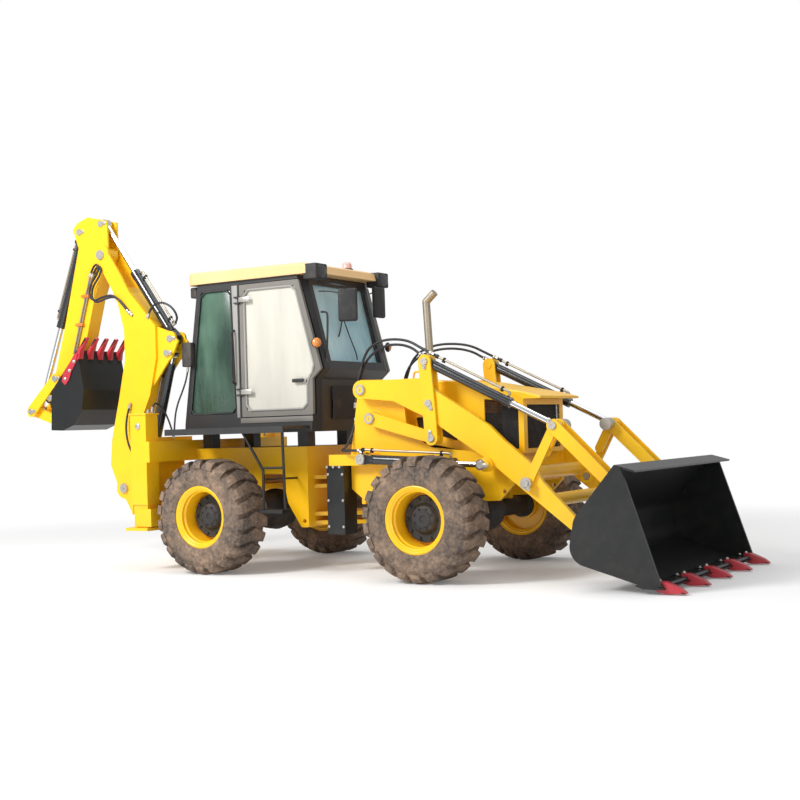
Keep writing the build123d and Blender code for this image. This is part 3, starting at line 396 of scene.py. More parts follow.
def copied(piece, name, matrix):
    twin = piece.copy()
    twin.data = piece.data.copy()
    twin.name = name
    bpy.context.scene.collection.objects.link(twin)
    return placed(twin, matrix)


def aimed(place, direction):
    """The matrix that stands a piece made along +Z on a place, looking a way."""
    turn = Vector(direction).to_track_quat("Z", "Y").to_matrix().to_4x4()
    return Matrix.Translation(place) @ turn


def turned(name, rings, steps=24):
    """A turned piece along +Z from rings of (height, radius), closed at both ends."""
    height, radius = rings[0]
    foot = (0, 0, height)
    circle = bpy.ops.mesh.primitive_circle_add
    piece = added(name, circle, vertices=steps, radius=radius, fill_type="NGON", location=foot)
    bpy.ops.object.transform_apply(location=True)
    bpy.ops.object.mode_set(mode="EDIT")
    bpy.ops.mesh.select_all(action="SELECT")
    for next_height, next_radius in rings[1:]:
        bpy.ops.mesh.extrude_region_move(TRANSFORM_OT_translate={"value": (0, 0, next_height - height)})
        share = next_radius / radius
        bpy.ops.transform.resize(value=(share, share, 1), center_override=(0, 0, next_height))
        height, radius = next_height, next_radius
    bpy.ops.mesh.select_all(action="SELECT")
    bpy.ops.mesh.normals_make_consistent(inside=False)
    bpy.ops.object.mode_set(mode="OBJECT")
    return smooth(piece, 40)


def plate(name, points, low, high, bevel=0.0):
    """A flat outline in the (x, z) plane between two y values."""
    piece = added(name, bpy.ops.mesh.primitive_circle_add, vertices=len(points), radius=1, fill_type="NGON")
    for vertex, (x, z) in zip(piece.data.vertices, points):
        vertex.co = (x + PIVOT, low, z)
    bpy.ops.object.mode_set(mode="EDIT")
    bpy.ops.mesh.select_all(action="SELECT")
    bpy.ops.mesh.extrude_region_move(TRANSFORM_OT_translate={"value": (0, high - low, 0)})
    bpy.ops.mesh.select_all(action="SELECT")
    bpy.ops.mesh.normals_make_consistent(inside=False)
    bpy.ops.object.mode_set(mode="OBJECT")
    return rounded(piece, bevel) if bevel else piece


def slab(name, low, high, bevel=0.004, segments=2):
    """A bar or housing from its lowest and highest corners, with rounded edges."""
    centre = (Vector(low) + Vector(high)) / 2
    size = Vector(high) - Vector(low)
    piece = added(name, bpy.ops.mesh.primitive_cube_add, size=1)
    piece.data.transform(Matrix.Translation(centre + Vector((PIVOT, 0, 0))) @ Matrix.Diagonal((*size, 1)))
    return rounded(piece, min(bevel, min(size) * 0.45), segments)


def curve_line(name, points, kind):
    """A curve through its points: straight runs for POLY, or one smooth line for NURBS."""
    curve = bpy.data.curves.new(name, "CURVE")
    curve.dimensions = "3D"
    spline = curve.splines.new(kind)
    spline.points.add(len(points) - 1)
    for point, place in zip(spline.points, points):
        point.co = (*place, 1)
    if kind == "NURBS":
        spline.order_u = 3
        spline.use_endpoint_u = True
    holder = bpy.data.objects.new(name, curve)
    bpy.context.scene.collection.objects.link(holder)
    return holder


def tube(name, points, radius, kind="NURBS", closed=False, angle=50):
    """A pipe, hose, rail or seal along a line, or round a closed one."""
    holder = curve_line(name, points, kind)
    holder.data.splines[0].use_cyclic_u = closed
    holder.data.resolution_u = 6
    holder.data.bevel_depth = radius
    holder.data.bevel_resolution = 3
    holder.data.use_fill_caps = not closed
    bpy.ops.object.select_all(action="DESELECT")
    holder.select_set(True)
    bpy.context.view_layer.objects.active = holder
    bpy.ops.object.convert(target="MESH")
    return smooth(bpy.context.object, angle)


def ring_tube(name, points, radius):
    """A seal's closed line of straight runs."""
    return tube(name, points, radius, "POLY", True, 60)


def finish(piece, body, slot_name):
    """Gives the piece its finish and the body it moves with."""
    piece.data.materials.clear()
    piece.data.materials.append(FINISHES[slot_name])
    slot_name in RECORD_SLOTS
    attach(piece, body)
    return piece


RECORD_SLOTS = {row["slot"] for row in frame["record"]["materials"]}
SIDES = (("right", -1), ("left", 1))


def pin_cap():
    """Turned cap of a pivot pin with a dished face and a grease nipple."""
    rings = [
        (0, 0.050), (0.016, 0.050), (0.021, 0.046), (0.021, 0.030), (0.017, 0.027), (0.017, 0.012),
        (0.026, 0.009), (0.026, 0.004),
    ]
    return turned("pin_cap", rings)


def keeper():
    """Small pin head with the keeper plate that stops it turning, and the plate's bolt."""
    head = turned("keeper", [(0, 0.034), (0.010, 0.034), (0.014, 0.030), (0.014, 0.014), (0.011, 0.012)])
    tongue = added("tongue", bpy.ops.mesh.primitive_circle_add, vertices=20, radius=0.020, fill_type="NGON")
    bpy.ops.object.mode_set(mode="EDIT")
    bpy.ops.mesh.select_all(action="SELECT")
    bpy.ops.mesh.extrude_region_move(TRANSFORM_OT_translate={"value": (0, 0, 0.008)})
    bpy.ops.mesh.select_all(action="SELECT")
    bpy.ops.mesh.normals_make_consistent(inside=False)
    bpy.ops.object.mode_set(mode="OBJECT")
    for vertex in tongue.data.vertices:
        vertex.co.x += 0.052 if vertex.co.x > 0.0 else 0.012
    bolt = turned("bolt", [(0.006, 0.011), (0.014, 0.011), (0.016, 0.009)], 6)
    placed(bolt, Matrix.Translation((0.052, 0, 0)))
    return joined("keeper", [head, rounded(tongue, 0.002), bolt])


def pin_heads():
    """Bright heads at the pins' outer ends."""
    cap, small = pin_cap(), keeper()
    # name, pin, distance across, kind, body, turn of the keeper
    rows = (
        ("arm", ARM_PIN, 0.6262, cap, "front", 0), ("link_rear", LINK_REAR_PIN, 0.6162, cap, "front", 0),
        ("lever", LEVER_PIN, 0.6545, small, "arm", 60),
        ("tilt_base", TILT_BASE_PIN, 0.6545, small, "rear_levers", 90),
        ("link_front", LINK_FRONT_PIN, 0.6545, small, "rear_levers", -100),
        ("tilt_eye", TILT_EYE_PIN, 0.6775, small, "link_pins", -120),
        ("front_lever", FRONT_LEVER_PIN, 0.6945, small, "front_lever_pins", 60),
        ("lift_base", LIFT_BASE_PIN, 0.762, cap, "front", 0),
        ("lift_eye", LIFT_EYE_PIN, 0.7555, small, "lift_rods", 10),
        ("bucket_link", BUCKET_LINK_PIN, 0.653, small, "bucket", 50),
    )
    for name, pin, reach, kind, body, turn in rows:
        for hand, side in SIDES:
            spin = Matrix.Rotation(math.radians(turn * side), 4, "Z")
            head = copied(kind, f"pin_{name}_{hand}", aimed(spot(pin, side * reach), (0, side, 0)) @ spin)
            finish(head, body, "pin_steel")
    # the backhoe's pins, with their distance from its middle plane
    rows = (
        ("foot", FOOT_PIN, 0.141, cap, "swing_post"), ("boom_tip", BOOM_TIP_PIN, 0.1105, cap, "boom"),
        ("boom_lug", BOOM_LUG_PIN, 0.098, small, "boom"),
        ("dipper_base", DIPPER_BASE_PIN, 0.086, small, "boom"),
        ("dipper_eye", DIPPER_EYE_PIN, 0.081, small, "dipper"),
        ("bucket_cyl", BUCKET_CYL_PIN, 0.081, small, "dipper"),
        ("dipper_tip", DIPPER_TIP_PIN, 0.109, small, "dipper"),
        ("rocker", ROCKER_PIN, 0.133, small, "dipper"),
        ("rocker_end", ROCKER_END_PIN, 0.133, small, "hoe_link"),
        ("bucket_ear", HOE_EAR_PIN, 0.109, small, "hoe_bucket"),
    )
    for name, pin, reach, kind, body in rows:
        for hand, side in SIDES:
            place = aimed(spot(pin, HOE_Y + side * reach), (0, side, 0))
            finish(copied(kind, f"hoe_pin_{name}_{hand}", place), body, "pin_steel")
    for start in (cap, small):
        bpy.data.objects.remove(start)


def arm_bosses():
    """Round boss on the arm's inner face, with the pin's end in it."""
    for hand, side in SIDES:
        rings = ((0, 0.070), (0.012, 0.070), (0.018, 0.064), (0.018, 0.036), (0.010, 0.033))
        boss = turned(f"arm_boss_{hand}", rings, 40)
        place = aimed(spot(FRONT_LEVER_PIN, side * 0.5745), (0, -side, 0))
        finish(placed(boss, place), "arm", "yellow_paint")


def along(base, eye, distance, rise, y):
    """A point at a distance along a cylinder and a rise above its axis."""
    way = Vector((eye[0] - base[0], 0, eye[1] - base[1])).normalized()
    up = Vector((-way.z, 0, way.x))
    if up.z < 0:
        up = -up
    return spot(base, y) + way * distance + up * rise


def cylinder_pipe(name, base, eye, y, body, start, end, rise, radius=0.011):
    """Steel feed pipe along a barrel, down into it at the gland, with two clips and its fitting."""
    barrel_r = rise - radius - 0.006
    line = [
        along(base, eye, start, rise, y), along(base, eye, start + 0.05, rise, y),
        along(base, eye, (start + end) / 2, rise, y), along(base, eye, end - 0.06, rise, y),
        along(base, eye, end, rise, y), along(base, eye, end + 0.002, rise - 0.03, y),
        along(base, eye, end + 0.002, barrel_r - 0.01, y),
    ]
    finish(tube(f"{name}_pipe", line, radius), body, "pipe_steel")
    way = (line[4] - line[3]).normalized()
    parts = []
    for share in (0.12, 0.9):
        foot = along(base, eye, start + (end - start) * share, barrel_r - 0.008, y)
        top = along(base, eye, start + (end - start) * share, rise + 0.016, y)
        tall = (top - foot).length
        clip = turned("clip", [(0, 0.016), (0.004, 0.018), (tall, 0.013), (tall + 0.004, 0.008)], 8)
        parts.append(placed(clip, aimed(foot, top - foot)))
    nut = turned("nut", [(0, 0.014), (0.006, 0.019), (0.034, 0.019), (0.040, 0.014)], 6)
    parts.append(placed(nut, aimed(line[0] - way * 0.004, way)))
    finish(joined(f"{name}_clips", parts), body, "black_paint")


def pipes():
    for hand, side in SIDES:
        cylinder_pipe(
            f"tilt_{hand}", TILT_BASE_PIN, TILT_EYE_PIN, side * ARM_Y, "tilt_barrels", 0.06, 0.86, 0.082
        )
        cylinder_pipe(
            f"lift_{hand}", LIFT_BASE_PIN, LIFT_EYE_PIN, side * LIFT_Y, "lift_barrels", -0.02, 0.90, 0.085
        )
    cylinder_pipe("boom", POST_CYL_PIN, BOOM_LUG_PIN, HOE_Y, "boom_barrel", 0.10, 0.86, 0.085)
    cylinder_pipe("dipper", DIPPER_BASE_PIN, DIPPER_EYE_PIN, HOE_Y, "dipper_barrel", 0.12, 0.82, 0.085)
    cylinder_pipe("hoe_bucket", BUCKET_CYL_PIN, ROCKER_END_PIN, HOE_Y, "hoe_bucket_barrel", 0.10, 0.97, 0.085)


pin_heads()
arm_bosses()
pipes()


# Glass, seals, mirrors and lamps of the cab
SCREEN = ((-0.352, 2.690), (-0.1735, 1.960))
ROOF_TOP = 2.900
CAB_SIDE = 0.598
DOOR_FACE = 0.604
DOOR_HINGES = (2.590, 1.700)
PANE = 0.006


def quad_sheet(name, corners, thickness):
    """A flat pane through four corners, given its thickness and a fine edge."""
    pane = added(name, bpy.ops.mesh.primitive_circle_add, vertices=4, radius=1, fill_type="NGON")
    for vertex, place in zip(pane.data.vertices, corners):
        vertex.co = place
    modified(pane, "SOLIDIFY", thickness=thickness, offset=0)
    return rounded(pane, thickness * 0.3, 1, 60)


def side_pane(name, points, y):
    return plate(name, points, y - PANE / 2, y + PANE / 2, 0.0015)


def seal(name, points, y, radius, corner=0.05):
    """Rubber seal round a pane: a closed line with rounded corners in the (x, z) plane."""
    ring = []
    for index, (x, z) in enumerate(points):
        for other in (points[index - 1], points[(index + 1) % len(points)]):
            way = Vector((other[0] - x, other[1] - z))
            step = min(corner, way.length * 0.4) / way.length
            ring.append((x + way.x * step, z + way.y * step))
    return ring_tube(name, [at(x, y, z) for x, z in ring], radius)


DOOR_PANE = (
    (-1.020, 2.680), (-0.415, 2.680), (-0.200, 1.880), (-0.294, 1.800), (-0.298, 1.518), (-1.020, 1.518)
)
SIDE_WINDOW = ((-1.560, 2.700), (-1.190, 2.700), (-1.150, 1.500), (-1.730, 1.500))


def cab_glass():
    for hand, side in SIDES:
        rim = seal(f"door_seal_{hand}", DOOR_PANE, side * CAB_SIDE, 0.012)
        finish(rim, f"door_{hand}", "seal_grey")
        pane = side_pane(f"rear_side_glass_{hand}", SIDE_WINDOW, side * 0.582)
        finish(pane, "rear", "side_glass")
        finish(seal(f"rear_side_seal_{hand}", SIDE_WINDOW, side * CAB_SIDE, 0.009), "rear", "seal_black")
    (top_x, top_z), (low_x, low_z) = SCREEN
    inset = 0.012
    corners = [at(top_x - inset, 0.44, top_z + 0.01), at(low_x - inset, 0.44, low_z - 0.01),
               at(low_x - inset, -0.44, low_z - 0.01), at(top_x - inset, -0.44, top_z + 0.01)]
    finish(quad_sheet("windscreen", corners, PANE), "rear", "screen_glass")
    ring = [Vector((x + 0.018, y * 0.985, z)) for x, y, z in corners]
    finish(ring_tube("windscreen_seal", ring, 0.013), "rear", "seal_black")
    lower = [
        at(-0.190, 0.335, 1.725), at(-0.198, 0.335, 1.415), at(-0.198, -0.335, 1.415),
        at(-0.190, -0.335, 1.725),
    ]
    finish(quad_sheet("nose_panel", lower, 0.010), "rear", "black_plastic")
    rear = [
        at(-1.620, 0.505, 2.705), at(-1.775, 0.505, 1.635), at(-1.775, -0.505, 1.635),
        at(-1.620, -0.505, 2.705),
    ]
    finish(quad_sheet("rear_glass", rear, PANE), "rear", "side_glass")
    ring = [Vector((x - 0.022, y * 0.99, z)) for x, y, z in rear]
    finish(ring_tube("rear_glass_seal", ring, 0.011), "rear", "seal_black")


def lamp_body(name, low, high, sign, lens_slot):
    """Moulded lamp housing with a lens let into its front face (sign 1) or its rear face (sign -1)."""
    housing = slab(name, low, high, 0.012, 3)
    centre = at(*((Vector(low) + Vector(high)) / 2))
    size = Vector(high) - Vector(low)
    dome = added(f"{name}_lens", bpy.ops.mesh.primitive_uv_sphere_add, segments=24, ring_count=12, radius=0.5)
    face = Matrix.Translation(centre + Vector((sign * size.x / 2, 0, 0)))
    dome.data.transform(face @ Matrix.Diagonal((0.016, size.y * 0.82, size.z * 0.82, 1)))
    finish(housing, "rear", "black_plastic")
    finish(smooth(dome), "rear", lens_slot)


def cab_lamps():
    for hand, side in SIDES:
        y0, y1 = sorted((side * 0.44, side * 0.628))
        lamp_body(f"work_lamp_{hand}", (-0.290, y0, 2.722), (-0.140, y1, 2.868), 1, "cylinder_paint")
        y0, y1 = sorted((side * 0.44, side * 0.56))
        lamp_body(f"rear_lamp_{hand}", (-1.73, y0, 2.66), (-1.65, y1, 2.765), -1, "clear_lens")
        lamp_place = aimed(at(-0.190, side * CAB_SIDE, 2.125), (0.8, side * 0.6, 0))
        cup = turned(f"turn_lamp_{hand}", [(0, 0.020), (0.014, 0.044), (0.034, 0.050), (0.040, 0.050)], 32)
        finish(placed(cup, lamp_place), "rear", "black_plastic")
        rings = ((0.036, 0.046), (0.050, 0.042), (0.062, 0.030), (0.067, 0.012))
        dome = turned(f"turn_lens_{hand}", rings, 32)
        finish(placed(dome, lamp_place), "rear", "amber_lens")
    base = turned("beacon_base", [(0, 0.062), (0.018, 0.062), (0.024, 0.056), (0.024, 0.050)])
    finish(placed(base, Matrix.Translation(at(-0.42, 0.30, ROOF_TOP - 0.012))), "rear", "black_plastic")
    dome = turned("beacon_dome", [(0, 0.050), (0.045, 0.047), (0.062, 0.036), (0.070, 0.018)])
    finish(placed(dome, Matrix.Translation(at(-0.42, 0.30, ROOF_TOP + 0.010))), "rear", "beacon_pink")


def mirrors():
    """Mirrors ahead of the screen: the right one swung forward, the left one close to its post."""
    rows = (
        ("right", at(0.042, -0.385, 2.475), 24, at(-0.235, -0.475, 2.700)),
        ("left", at(-0.150, 0.450, 2.565), 90, at(-0.285, 0.475, 2.745)),
    )
    for hand, centre, turn, root in rows:
        head = centre + Vector((0, 0, 0.165))
        knee = Vector((head.x - 0.03, root.y, head.z + 0.02))
        finish(tube(f"mirror_arm_{hand}", [root, knee, head, centre], 0.008), "rear", "black_plastic")
        foot = root + Vector((0.012, 0, -0.085))
        neck = head - Vector((0, 0, 0.02))
        finish(tube(f"mirror_stay_{hand}", [foot, neck, centre], 0.006), "rear", "black_plastic")
        place = Matrix.Translation(centre) @ Matrix.Rotation(math.radians(turn), 4, "Z")
        low, high = (-0.092 - PIVOT, -0.026, -0.155), (0.092 - PIVOT, 0.026, 0.155)
        finish(placed(slab(f"mirror_shell_{hand}", low, high, 0.024, 4), place), "rear", "black_plastic")
        low, high = (-0.080 - PIVOT, 0.024, -0.142), (0.080 - PIVOT, 0.029, 0.142)
        finish(placed(slab(f"mirror_glass_{hand}", low, high, 0.002), place), "rear", "mirror")


def door_fittings():
    for hand, side in SIDES:
        y = side * DOOR_FACE
        body = f"door_{hand}"
        y0, y1 = sorted((y, y + side * 0.026))
        handle = slab(f"door_handle_{hand}", (-0.455, y0, 1.765), (-0.300, y1, 1.800), 0.009)
        finish(handle, body, "black_plastic")
        knob = turned(f"door_lock_{hand}", [(0, 0.020), (0.020, 0.020), (0.024, 0.014)])
        finish(placed(knob, aimed(at(-0.315, y, 1.782), (0, side, 0))), body, "pin_steel")
        for z in DOOR_HINGES:
            y0, y1 = sorted((side * 0.6255, side * 0.633))
            low, high = (-1.060, y0, z - 0.024), (-0.935, y1, z + 0.024)
            strap_piece = slab(f"hinge_strap_{hand}_{int(z * 1000)}", low, high)
            finish(strap_piece, body, "pin_steel")


def post_strips():
    """Grey strip down the post behind each door, and the dusty sill under the door."""
    for hand, side in SIDES:
        y0, y1 = sorted((side * CAB_SIDE, side * 0.606))
        outline = ((-1.168, 2.735), (-1.100, 2.735), (-1.100, 1.455), (-1.135, 1.455))
        strip = plate(f"post_strip_{hand}", outline, y0, y1, 0.002)
        finish(strip, "rear", "seal_grey")
        sill = slab(f"sill_band_{hand}", (-1.095, y0, 1.398), (-0.240, y1, 1.448), 0.002)
        finish(sill, "rear", "door_grey")


def grab_rails():
    line = [at(-0.20, -0.475, 2.42), at(-0.12, -0.50, 2.42), at(-0.11, -0.50, 2.36),
            at(-0.135, -0.50, 1.95), at(-0.150, -0.50, 1.88), at(-0.175, -0.475, 1.86)]
    finish(tube("front_rail", line, 0.010), "rear", "black_plastic")
    for hand, side in SIDES:
        line = [
            at(-1.145, side * CAB_SIDE, 2.30), at(-1.145, side * 0.650, 2.29), at(-1.145, side * 0.652, 2.24),
            at(-1.145, side * 0.652, 1.84), at(-1.145, side * 0.650, 1.79), at(-1.145, side * CAB_SIDE, 1.78),
        ]
        finish(tube(f"grab_rail_{hand}", line, 0.011), "rear", "black_plastic")
    wiper = [
        at(-0.165, 0.05, 1.985), at(-0.150, 0.05, 2.00), at(-0.215, -0.02, 2.25), at(-0.262, -0.05, 2.44)
    ]
    finish(tube("wiper_arm", wiper, 0.006), "rear", "black_plastic")
    blade = [at(-0.200, -0.20, 2.20), at(-0.215, -0.14, 2.26), at(-0.285, 0.04, 2.52)]
    finish(tube("wiper_blade", blade, 0.007), "rear", "seal_black")


cab_glass()
cab_lamps()
mirrors()
door_fittings()
grab_rails()
post_strips()


# Wheels: black planetary hubs with their nuts, and the valve
def wheel_hub():
    rings = (
        (0, 0.203), (0.018, 0.203), (0.024, 0.196), (0.024, 0.135), (0.030, 0.128), (0.058, 0.112),
        (0.064, 0.104), (0.064, 0.078), (0.070, 0.072), (0.070, 0.030), (0.062, 0.024),
    )
    parts = [turned("hub", rings, 48)]
    nut = turned("nut", [(0, 0.016), (0.016, 0.016), (0.019, 0.012), (0.024, 0.010), (0.026, 0.006)], 6)
    # two circles of nuts: count, radius, height, scale, turn in steps
    for count, radius, height, scale, turn in ((10, 0.172, 0.023, 1.0, 0), (8, 0.091, 0.063, 0.6, 0.5)):
        for n in range(count):
            angle = math.tau * (n + turn) / count
            place = Matrix.Translation((radius * math.cos(angle), radius * math.sin(angle), height))
            parts.append(copied(nut, "nut", place @ Matrix.Scale(scale, 4)))
    bpy.data.objects.remove(nut)
    return joined("hub", parts)


def wheels():
    hub = wheel_hub()
    for place, x in (("front", AXLE_X), ("rear", -AXLE_X)):
        for hand, side in SIDES:
            centre = at(x, side * HUB_FACE_Y, AXLE_Z)
            piece = copied(hub, f"hub_{place}_{hand}", aimed(centre, (0, side, 0)))
            finish(piece, f"wheel_{place}_{hand}", "cast")
            steps = ((0.235, 0.04, 0), (0.236, 0.10, 0), (0.228, 0.15, 0.01))
            valve = [centre + Vector((forth, side * out, rise)) for forth, out, rise in steps]
            finish(tube(f"valve_{place}_{hand}", valve, 0.006), f"wheel_{place}_{hand}", "seal_black")
    bpy.data.objects.remove(hub)


# Red caps on the buckets' teeth, with their bolts
def narrowed(cap, y, axis, start, run):
    """Narrows a tooth's cap over a run along an axis, from start to its tip."""
    for vertex in cap.data.vertices:
        share = min(1, max(0, (vertex.co[axis] - start) / run))
        vertex.co.y = y + (vertex.co.y - y) * (1 - TOOTH_TAPER * share)


def loader_tooth(y):
    """Wedge cap drawn over the tooth, narrower towards its tip."""
    outline = (
        (3.262, 0.100), (3.330, 0.096), (3.440, 0.052), (3.487, 0.018), (3.487, 0.010), (3.430, 0.008),
        (3.330, 0.006), (3.262, 0.022),
    )
    cap = plate("cap", outline, y - 0.047, y + 0.047)
    narrowed(cap, y, 0, PIVOT + 3.300, 0.187)
    return rounded(cap, 0.007, 2)


def teeth():
    bolt = turned("bolt", TOOTH_BOLT, 8)
    caps, heads = [], []
    for n in range(TEETH):
        y = TOOTH_Y * (2 * n / (TEETH - 1) - 1)
        caps.append(loader_tooth(y))
        for x, z in ((3.215, 0.0795), (3.272, 0.0985)):
            heads.append(copied(bolt, "bolt", aimed(at(x, y, z), (0.05, 0, 1))))
    finish(joined("loader_tooth_caps", caps), "bucket", "red_paint")
    finish(joined("loader_tooth_bolts", heads), "bucket", "pin_steel")
    bpy.data.objects.remove(bolt)


wheels()
teeth()


# Hydraulic hoses: each runs on one smooth route, cut where it passes from one body to the next
def smooth_route(points):
    """Points along a NURBS line through a hose's control points."""
    holder = curve_line("route", [at(*point) for point in points], "NURBS")
    holder.data.resolution_u = 8
    bpy.context.view_layer.update()
    line = bpy.data.meshes.new_from_object(holder)
    places = [vertex.co.copy() for vertex in line.vertices]
    bpy.data.objects.remove(holder)
    bpy.data.meshes.remove(line)
    return places


def path_length(path):
    return sum((b - a).length for a, b in zip(path, path[1:]))


def crimp(name, place, way, radius, body):
    """Crimped ferrule and nut at a hose's end."""
    # height, share of the hose's radius
    rows = ((0, 0.7), (0.004, 1.45), (0.030, 1.45), (0.036, 1.15), (0.038, 1.6), (0.054, 1.6), (0.058, 0.9))
    ferrule = turned(name, [(height, radius * share) for height, share in rows], 12)
    finish(placed(ferrule, aimed(place, way)), body, "pin_steel")


def hose(name, points, radius, chain, cuts=()):
    """A hose through its control points.

    chain names the bodies that it passes, and cuts the shares of its route where it goes over from one
    to the next.
    """
    path = smooth_route(points)
    stops = [0] + [round(share * (len(path) - 1)) for share in cuts] + [len(path) - 1]
    crimp(f"{name}_crimp_in", path[0], (path[1] - path[0]).normalized(), radius, chain[0])
    crimp(f"{name}_crimp_out", path[-1], (path[-2] - path[-1]).normalized(), radius, chain[-1])
    steps = list(zip(stops, stops[1:]))
    pairs = list(zip(chain, chain[1:])) or [(chain[0], None)]
    for index, ((first, last), (start_body, end_body)) in enumerate(zip(steps, pairs)):
        part = path[first:last + 1]
        piece = tube(f"{name}_{index + 1}" if len(pairs) > 1 else name, part, radius, "POLY", angle=60)
        piece.data.materials.append(FINISHES["hose_rubber"])
        if end_body:
            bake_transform(piece)
        else:
            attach(piece, start_body)
        length = path_length(part)


def loader_hoses():
    """Two tilt hoses and a lift hose on each side, from the front frame to the cylinders."""
    lever_chain = ("front", "arm", "rear_levers", "tilt_barrels")
    for hand, side in SIDES:
        outer = (
            (0.150, 0.470, 1.500), (0.130, 0.430, 1.560), (0.145, 0.420, 1.720), (0.190, 0.420, 1.860),
            (0.235, 0.430, 1.970), (0.320, 0.460, 2.060), (0.480, 0.500, 2.110), (0.660, 0.540, 2.110),
            (0.820, 0.570, 2.080), (0.950, 0.595, 2.010), (1.090, 0.600, 1.940),
        )
        outer = [(x, side * y, z) for x, y, z in outer]
        hose(f"tilt_hose_{hand}", outer, TILT_HOSE_R, lever_chain, (0.55, 0.85))
        inner = (
            (0.180, 0.470, 1.440), (0.135, 0.400, 1.520), (0.140, 0.390, 1.700), (0.175, 0.390, 1.830),
            (0.240, 0.400, 1.940), (0.360, 0.430, 2.020), (0.520, 0.480, 2.065), (0.700, 0.530, 2.060),
            (0.840, 0.565, 2.020), (0.930, 0.590, 1.960), (0.985, 0.600, 1.935),
        )
        inner = [(x, side * y, z) for x, y, z in inner]
        hose(f"tilt_hose_low_{hand}", inner, TILT_HOSE_R, lever_chain, (0.55, 0.85))
        lift = (
            (0.200, 0.470, 1.400), (0.165, 0.490, 1.400), (0.150, 0.510, 1.310), (0.125, 0.550, 1.200),
            (0.115, 0.620, 1.130), (0.130, 0.690, 1.115), (0.230, 0.715, 1.120), (0.340, 0.715, 1.118),
            (0.375, 0.715, 1.090),
        )
        lift = [(x, side * y, z) for x, y, z in lift]
        hose(f"lift_hose_{hand}", lift, TILT_HOSE_R, ("front", "lift_barrels"))


def hoe_hoses():
    """Two hoses round the dipper's pin, one at the dipper's cylinder and one at the boom's foot."""
    loop = (
        (-2.360, -0.758, 2.540), (-2.450, -0.765, 2.640), (-2.560, -0.775, 2.750), (-2.700, -0.785, 2.740),
        (-2.820, -0.790, 2.700), (-2.900, -0.785, 2.760), (-2.880, -0.780, 2.880), (-2.800, -0.775, 2.960),
        (-2.760, -0.770, 3.040), (-2.810, -0.760, 3.090), (-2.880, -0.745, 3.050), (-2.930, -0.740, 2.960),
    )
    hose("dipper_hose", loop, HOE_HOSE_R, ("boom", "dipper"))
    second = tuple((x + 0.030, y + 0.004, z - 0.020) for x, y, z in loop[:-1]) + ((-2.905, -0.736, 2.950),)
    hose("dipper_hose_low", second, HOE_HOSE_R, ("boom", "dipper"))
    knee = (
        (-2.130, -0.755, 2.480), (-2.080, -0.765, 2.580), (-1.960, -0.770, 2.630), (-1.840, -0.765, 2.600),
        (-1.760, -0.750, 2.520), (-1.760, -0.720, 2.430), (-1.860, -0.680, 2.400),
    )
    hose("dipper_cylinder_hose", knee, HOE_HOSE_R, ("boom", "dipper_barrel"))
    foot = (
        (-2.300, -0.735, 1.010), (-2.360, -0.800, 1.150), (-2.420, -0.800, 1.330), (-2.420, -0.780, 1.520),
        (-2.380, -0.762, 1.640),
    )
    hose("boom_hose", foot, HOE_HOSE_R, ("swing_post", "boom"))


def leg_hoses():
    for hand, side in SIDES:
        feed = (
            (-1.885, side * 0.985, 1.528), (-1.885, side * 0.985, 1.590), (-1.880, side * 0.940, 1.630),
            (-1.860, side * 0.860, 1.580), (-1.850, side * 0.760, 1.400), (-1.850, side * 0.720, 1.270),
        )
        hose(f"leg_hose_{hand}", feed, THIN_HOSE_R, ("rear",))


def dipper_pipes():
    """Two steel pipes down the dipper's side, with their clamps."""
    for row, shift in enumerate((0.0, 0.030)):
        line = [
            at(-2.930 + shift, -0.736, 2.965), at(-2.950 + shift, -0.736, 2.900),
            at(-3.020 + shift, -0.736, 2.700), at(-3.150 + shift, -0.736, 2.300),
            at(-3.190 + shift, -0.736, 2.180),
        ]
        finish(tube(f"dipper_pipe_{row + 1}", line, 0.009), "dipper", "pipe_steel")
    for number, (x, z) in enumerate(((-3.000, 2.770), (-3.095, 2.480))):
        low, high = (x - 0.045, -0.755, z - 0.016), (x + 0.060, -0.719, z + 0.016)
        clamp = slab(f"dipper_clamp_{number + 1}", low, high, 0.006)
        finish(clamp, "dipper", "amber_paint")


def wire_guard(name, columns, rows, place, slot_name):
    """A grid of thin bars over an opening of the front body, from a unit square put in its place."""
    guard = added(name, bpy.ops.mesh.primitive_grid_add, x_subdivisions=columns, y_subdivisions=rows, size=1)
    guard.data.transform(place)
    modified(guard, "WIREFRAME", thickness=MESH_BAR)
    finish(guard, "front", slot_name)


def side_guard(name, low, high, y, columns, slot_name):
    """Square mesh behind an opening in the hood's side."""
    (x0, z0), (x1, z1) = low, high
    rows = max(2, round(columns * (z1 - z0) / (x1 - x0)))
    centre = at((x0 + x1) / 2, y, (z0 + z1) / 2)
    place = Matrix.Translation(centre) @ Matrix.Rotation(math.radians(90), 4, "X")
    wire_guard(name, columns, rows, place @ Matrix.Diagonal((x1 - x0, z1 - z0, 1, 1)), slot_name)


def hood_fittings():
    for hand, side in SIDES:
        side_guard(f"hood_mesh_front_{hand}", (1.440, 1.080), (1.808, 1.545), side * 0.379, 26, "cast")
        side_guard(f"hood_mesh_side_{hand}", (0.740, 1.165), (1.210, 1.415), side * 0.379, 34, "brown_dust")
    handle = [at(0.700, -0.33, 1.738), at(0.705, -0.33, 1.800), at(0.730, -0.33, 1.818),
              at(0.850, -0.33, 1.812), at(0.880, -0.33, 1.795), at(0.884, -0.33, 1.725)]
    finish(tube("hood_handle", handle, 0.010), "front", "yellow_paint")
    place = Matrix.Translation(at(1.836, 0, 1.290)) @ Matrix.Rotation(math.radians(90), 4, "Y")
    wire_guard("radiator_guard", 22, 38, place @ Matrix.Diagonal((0.38, 0.64, 1, 1)), "cast")


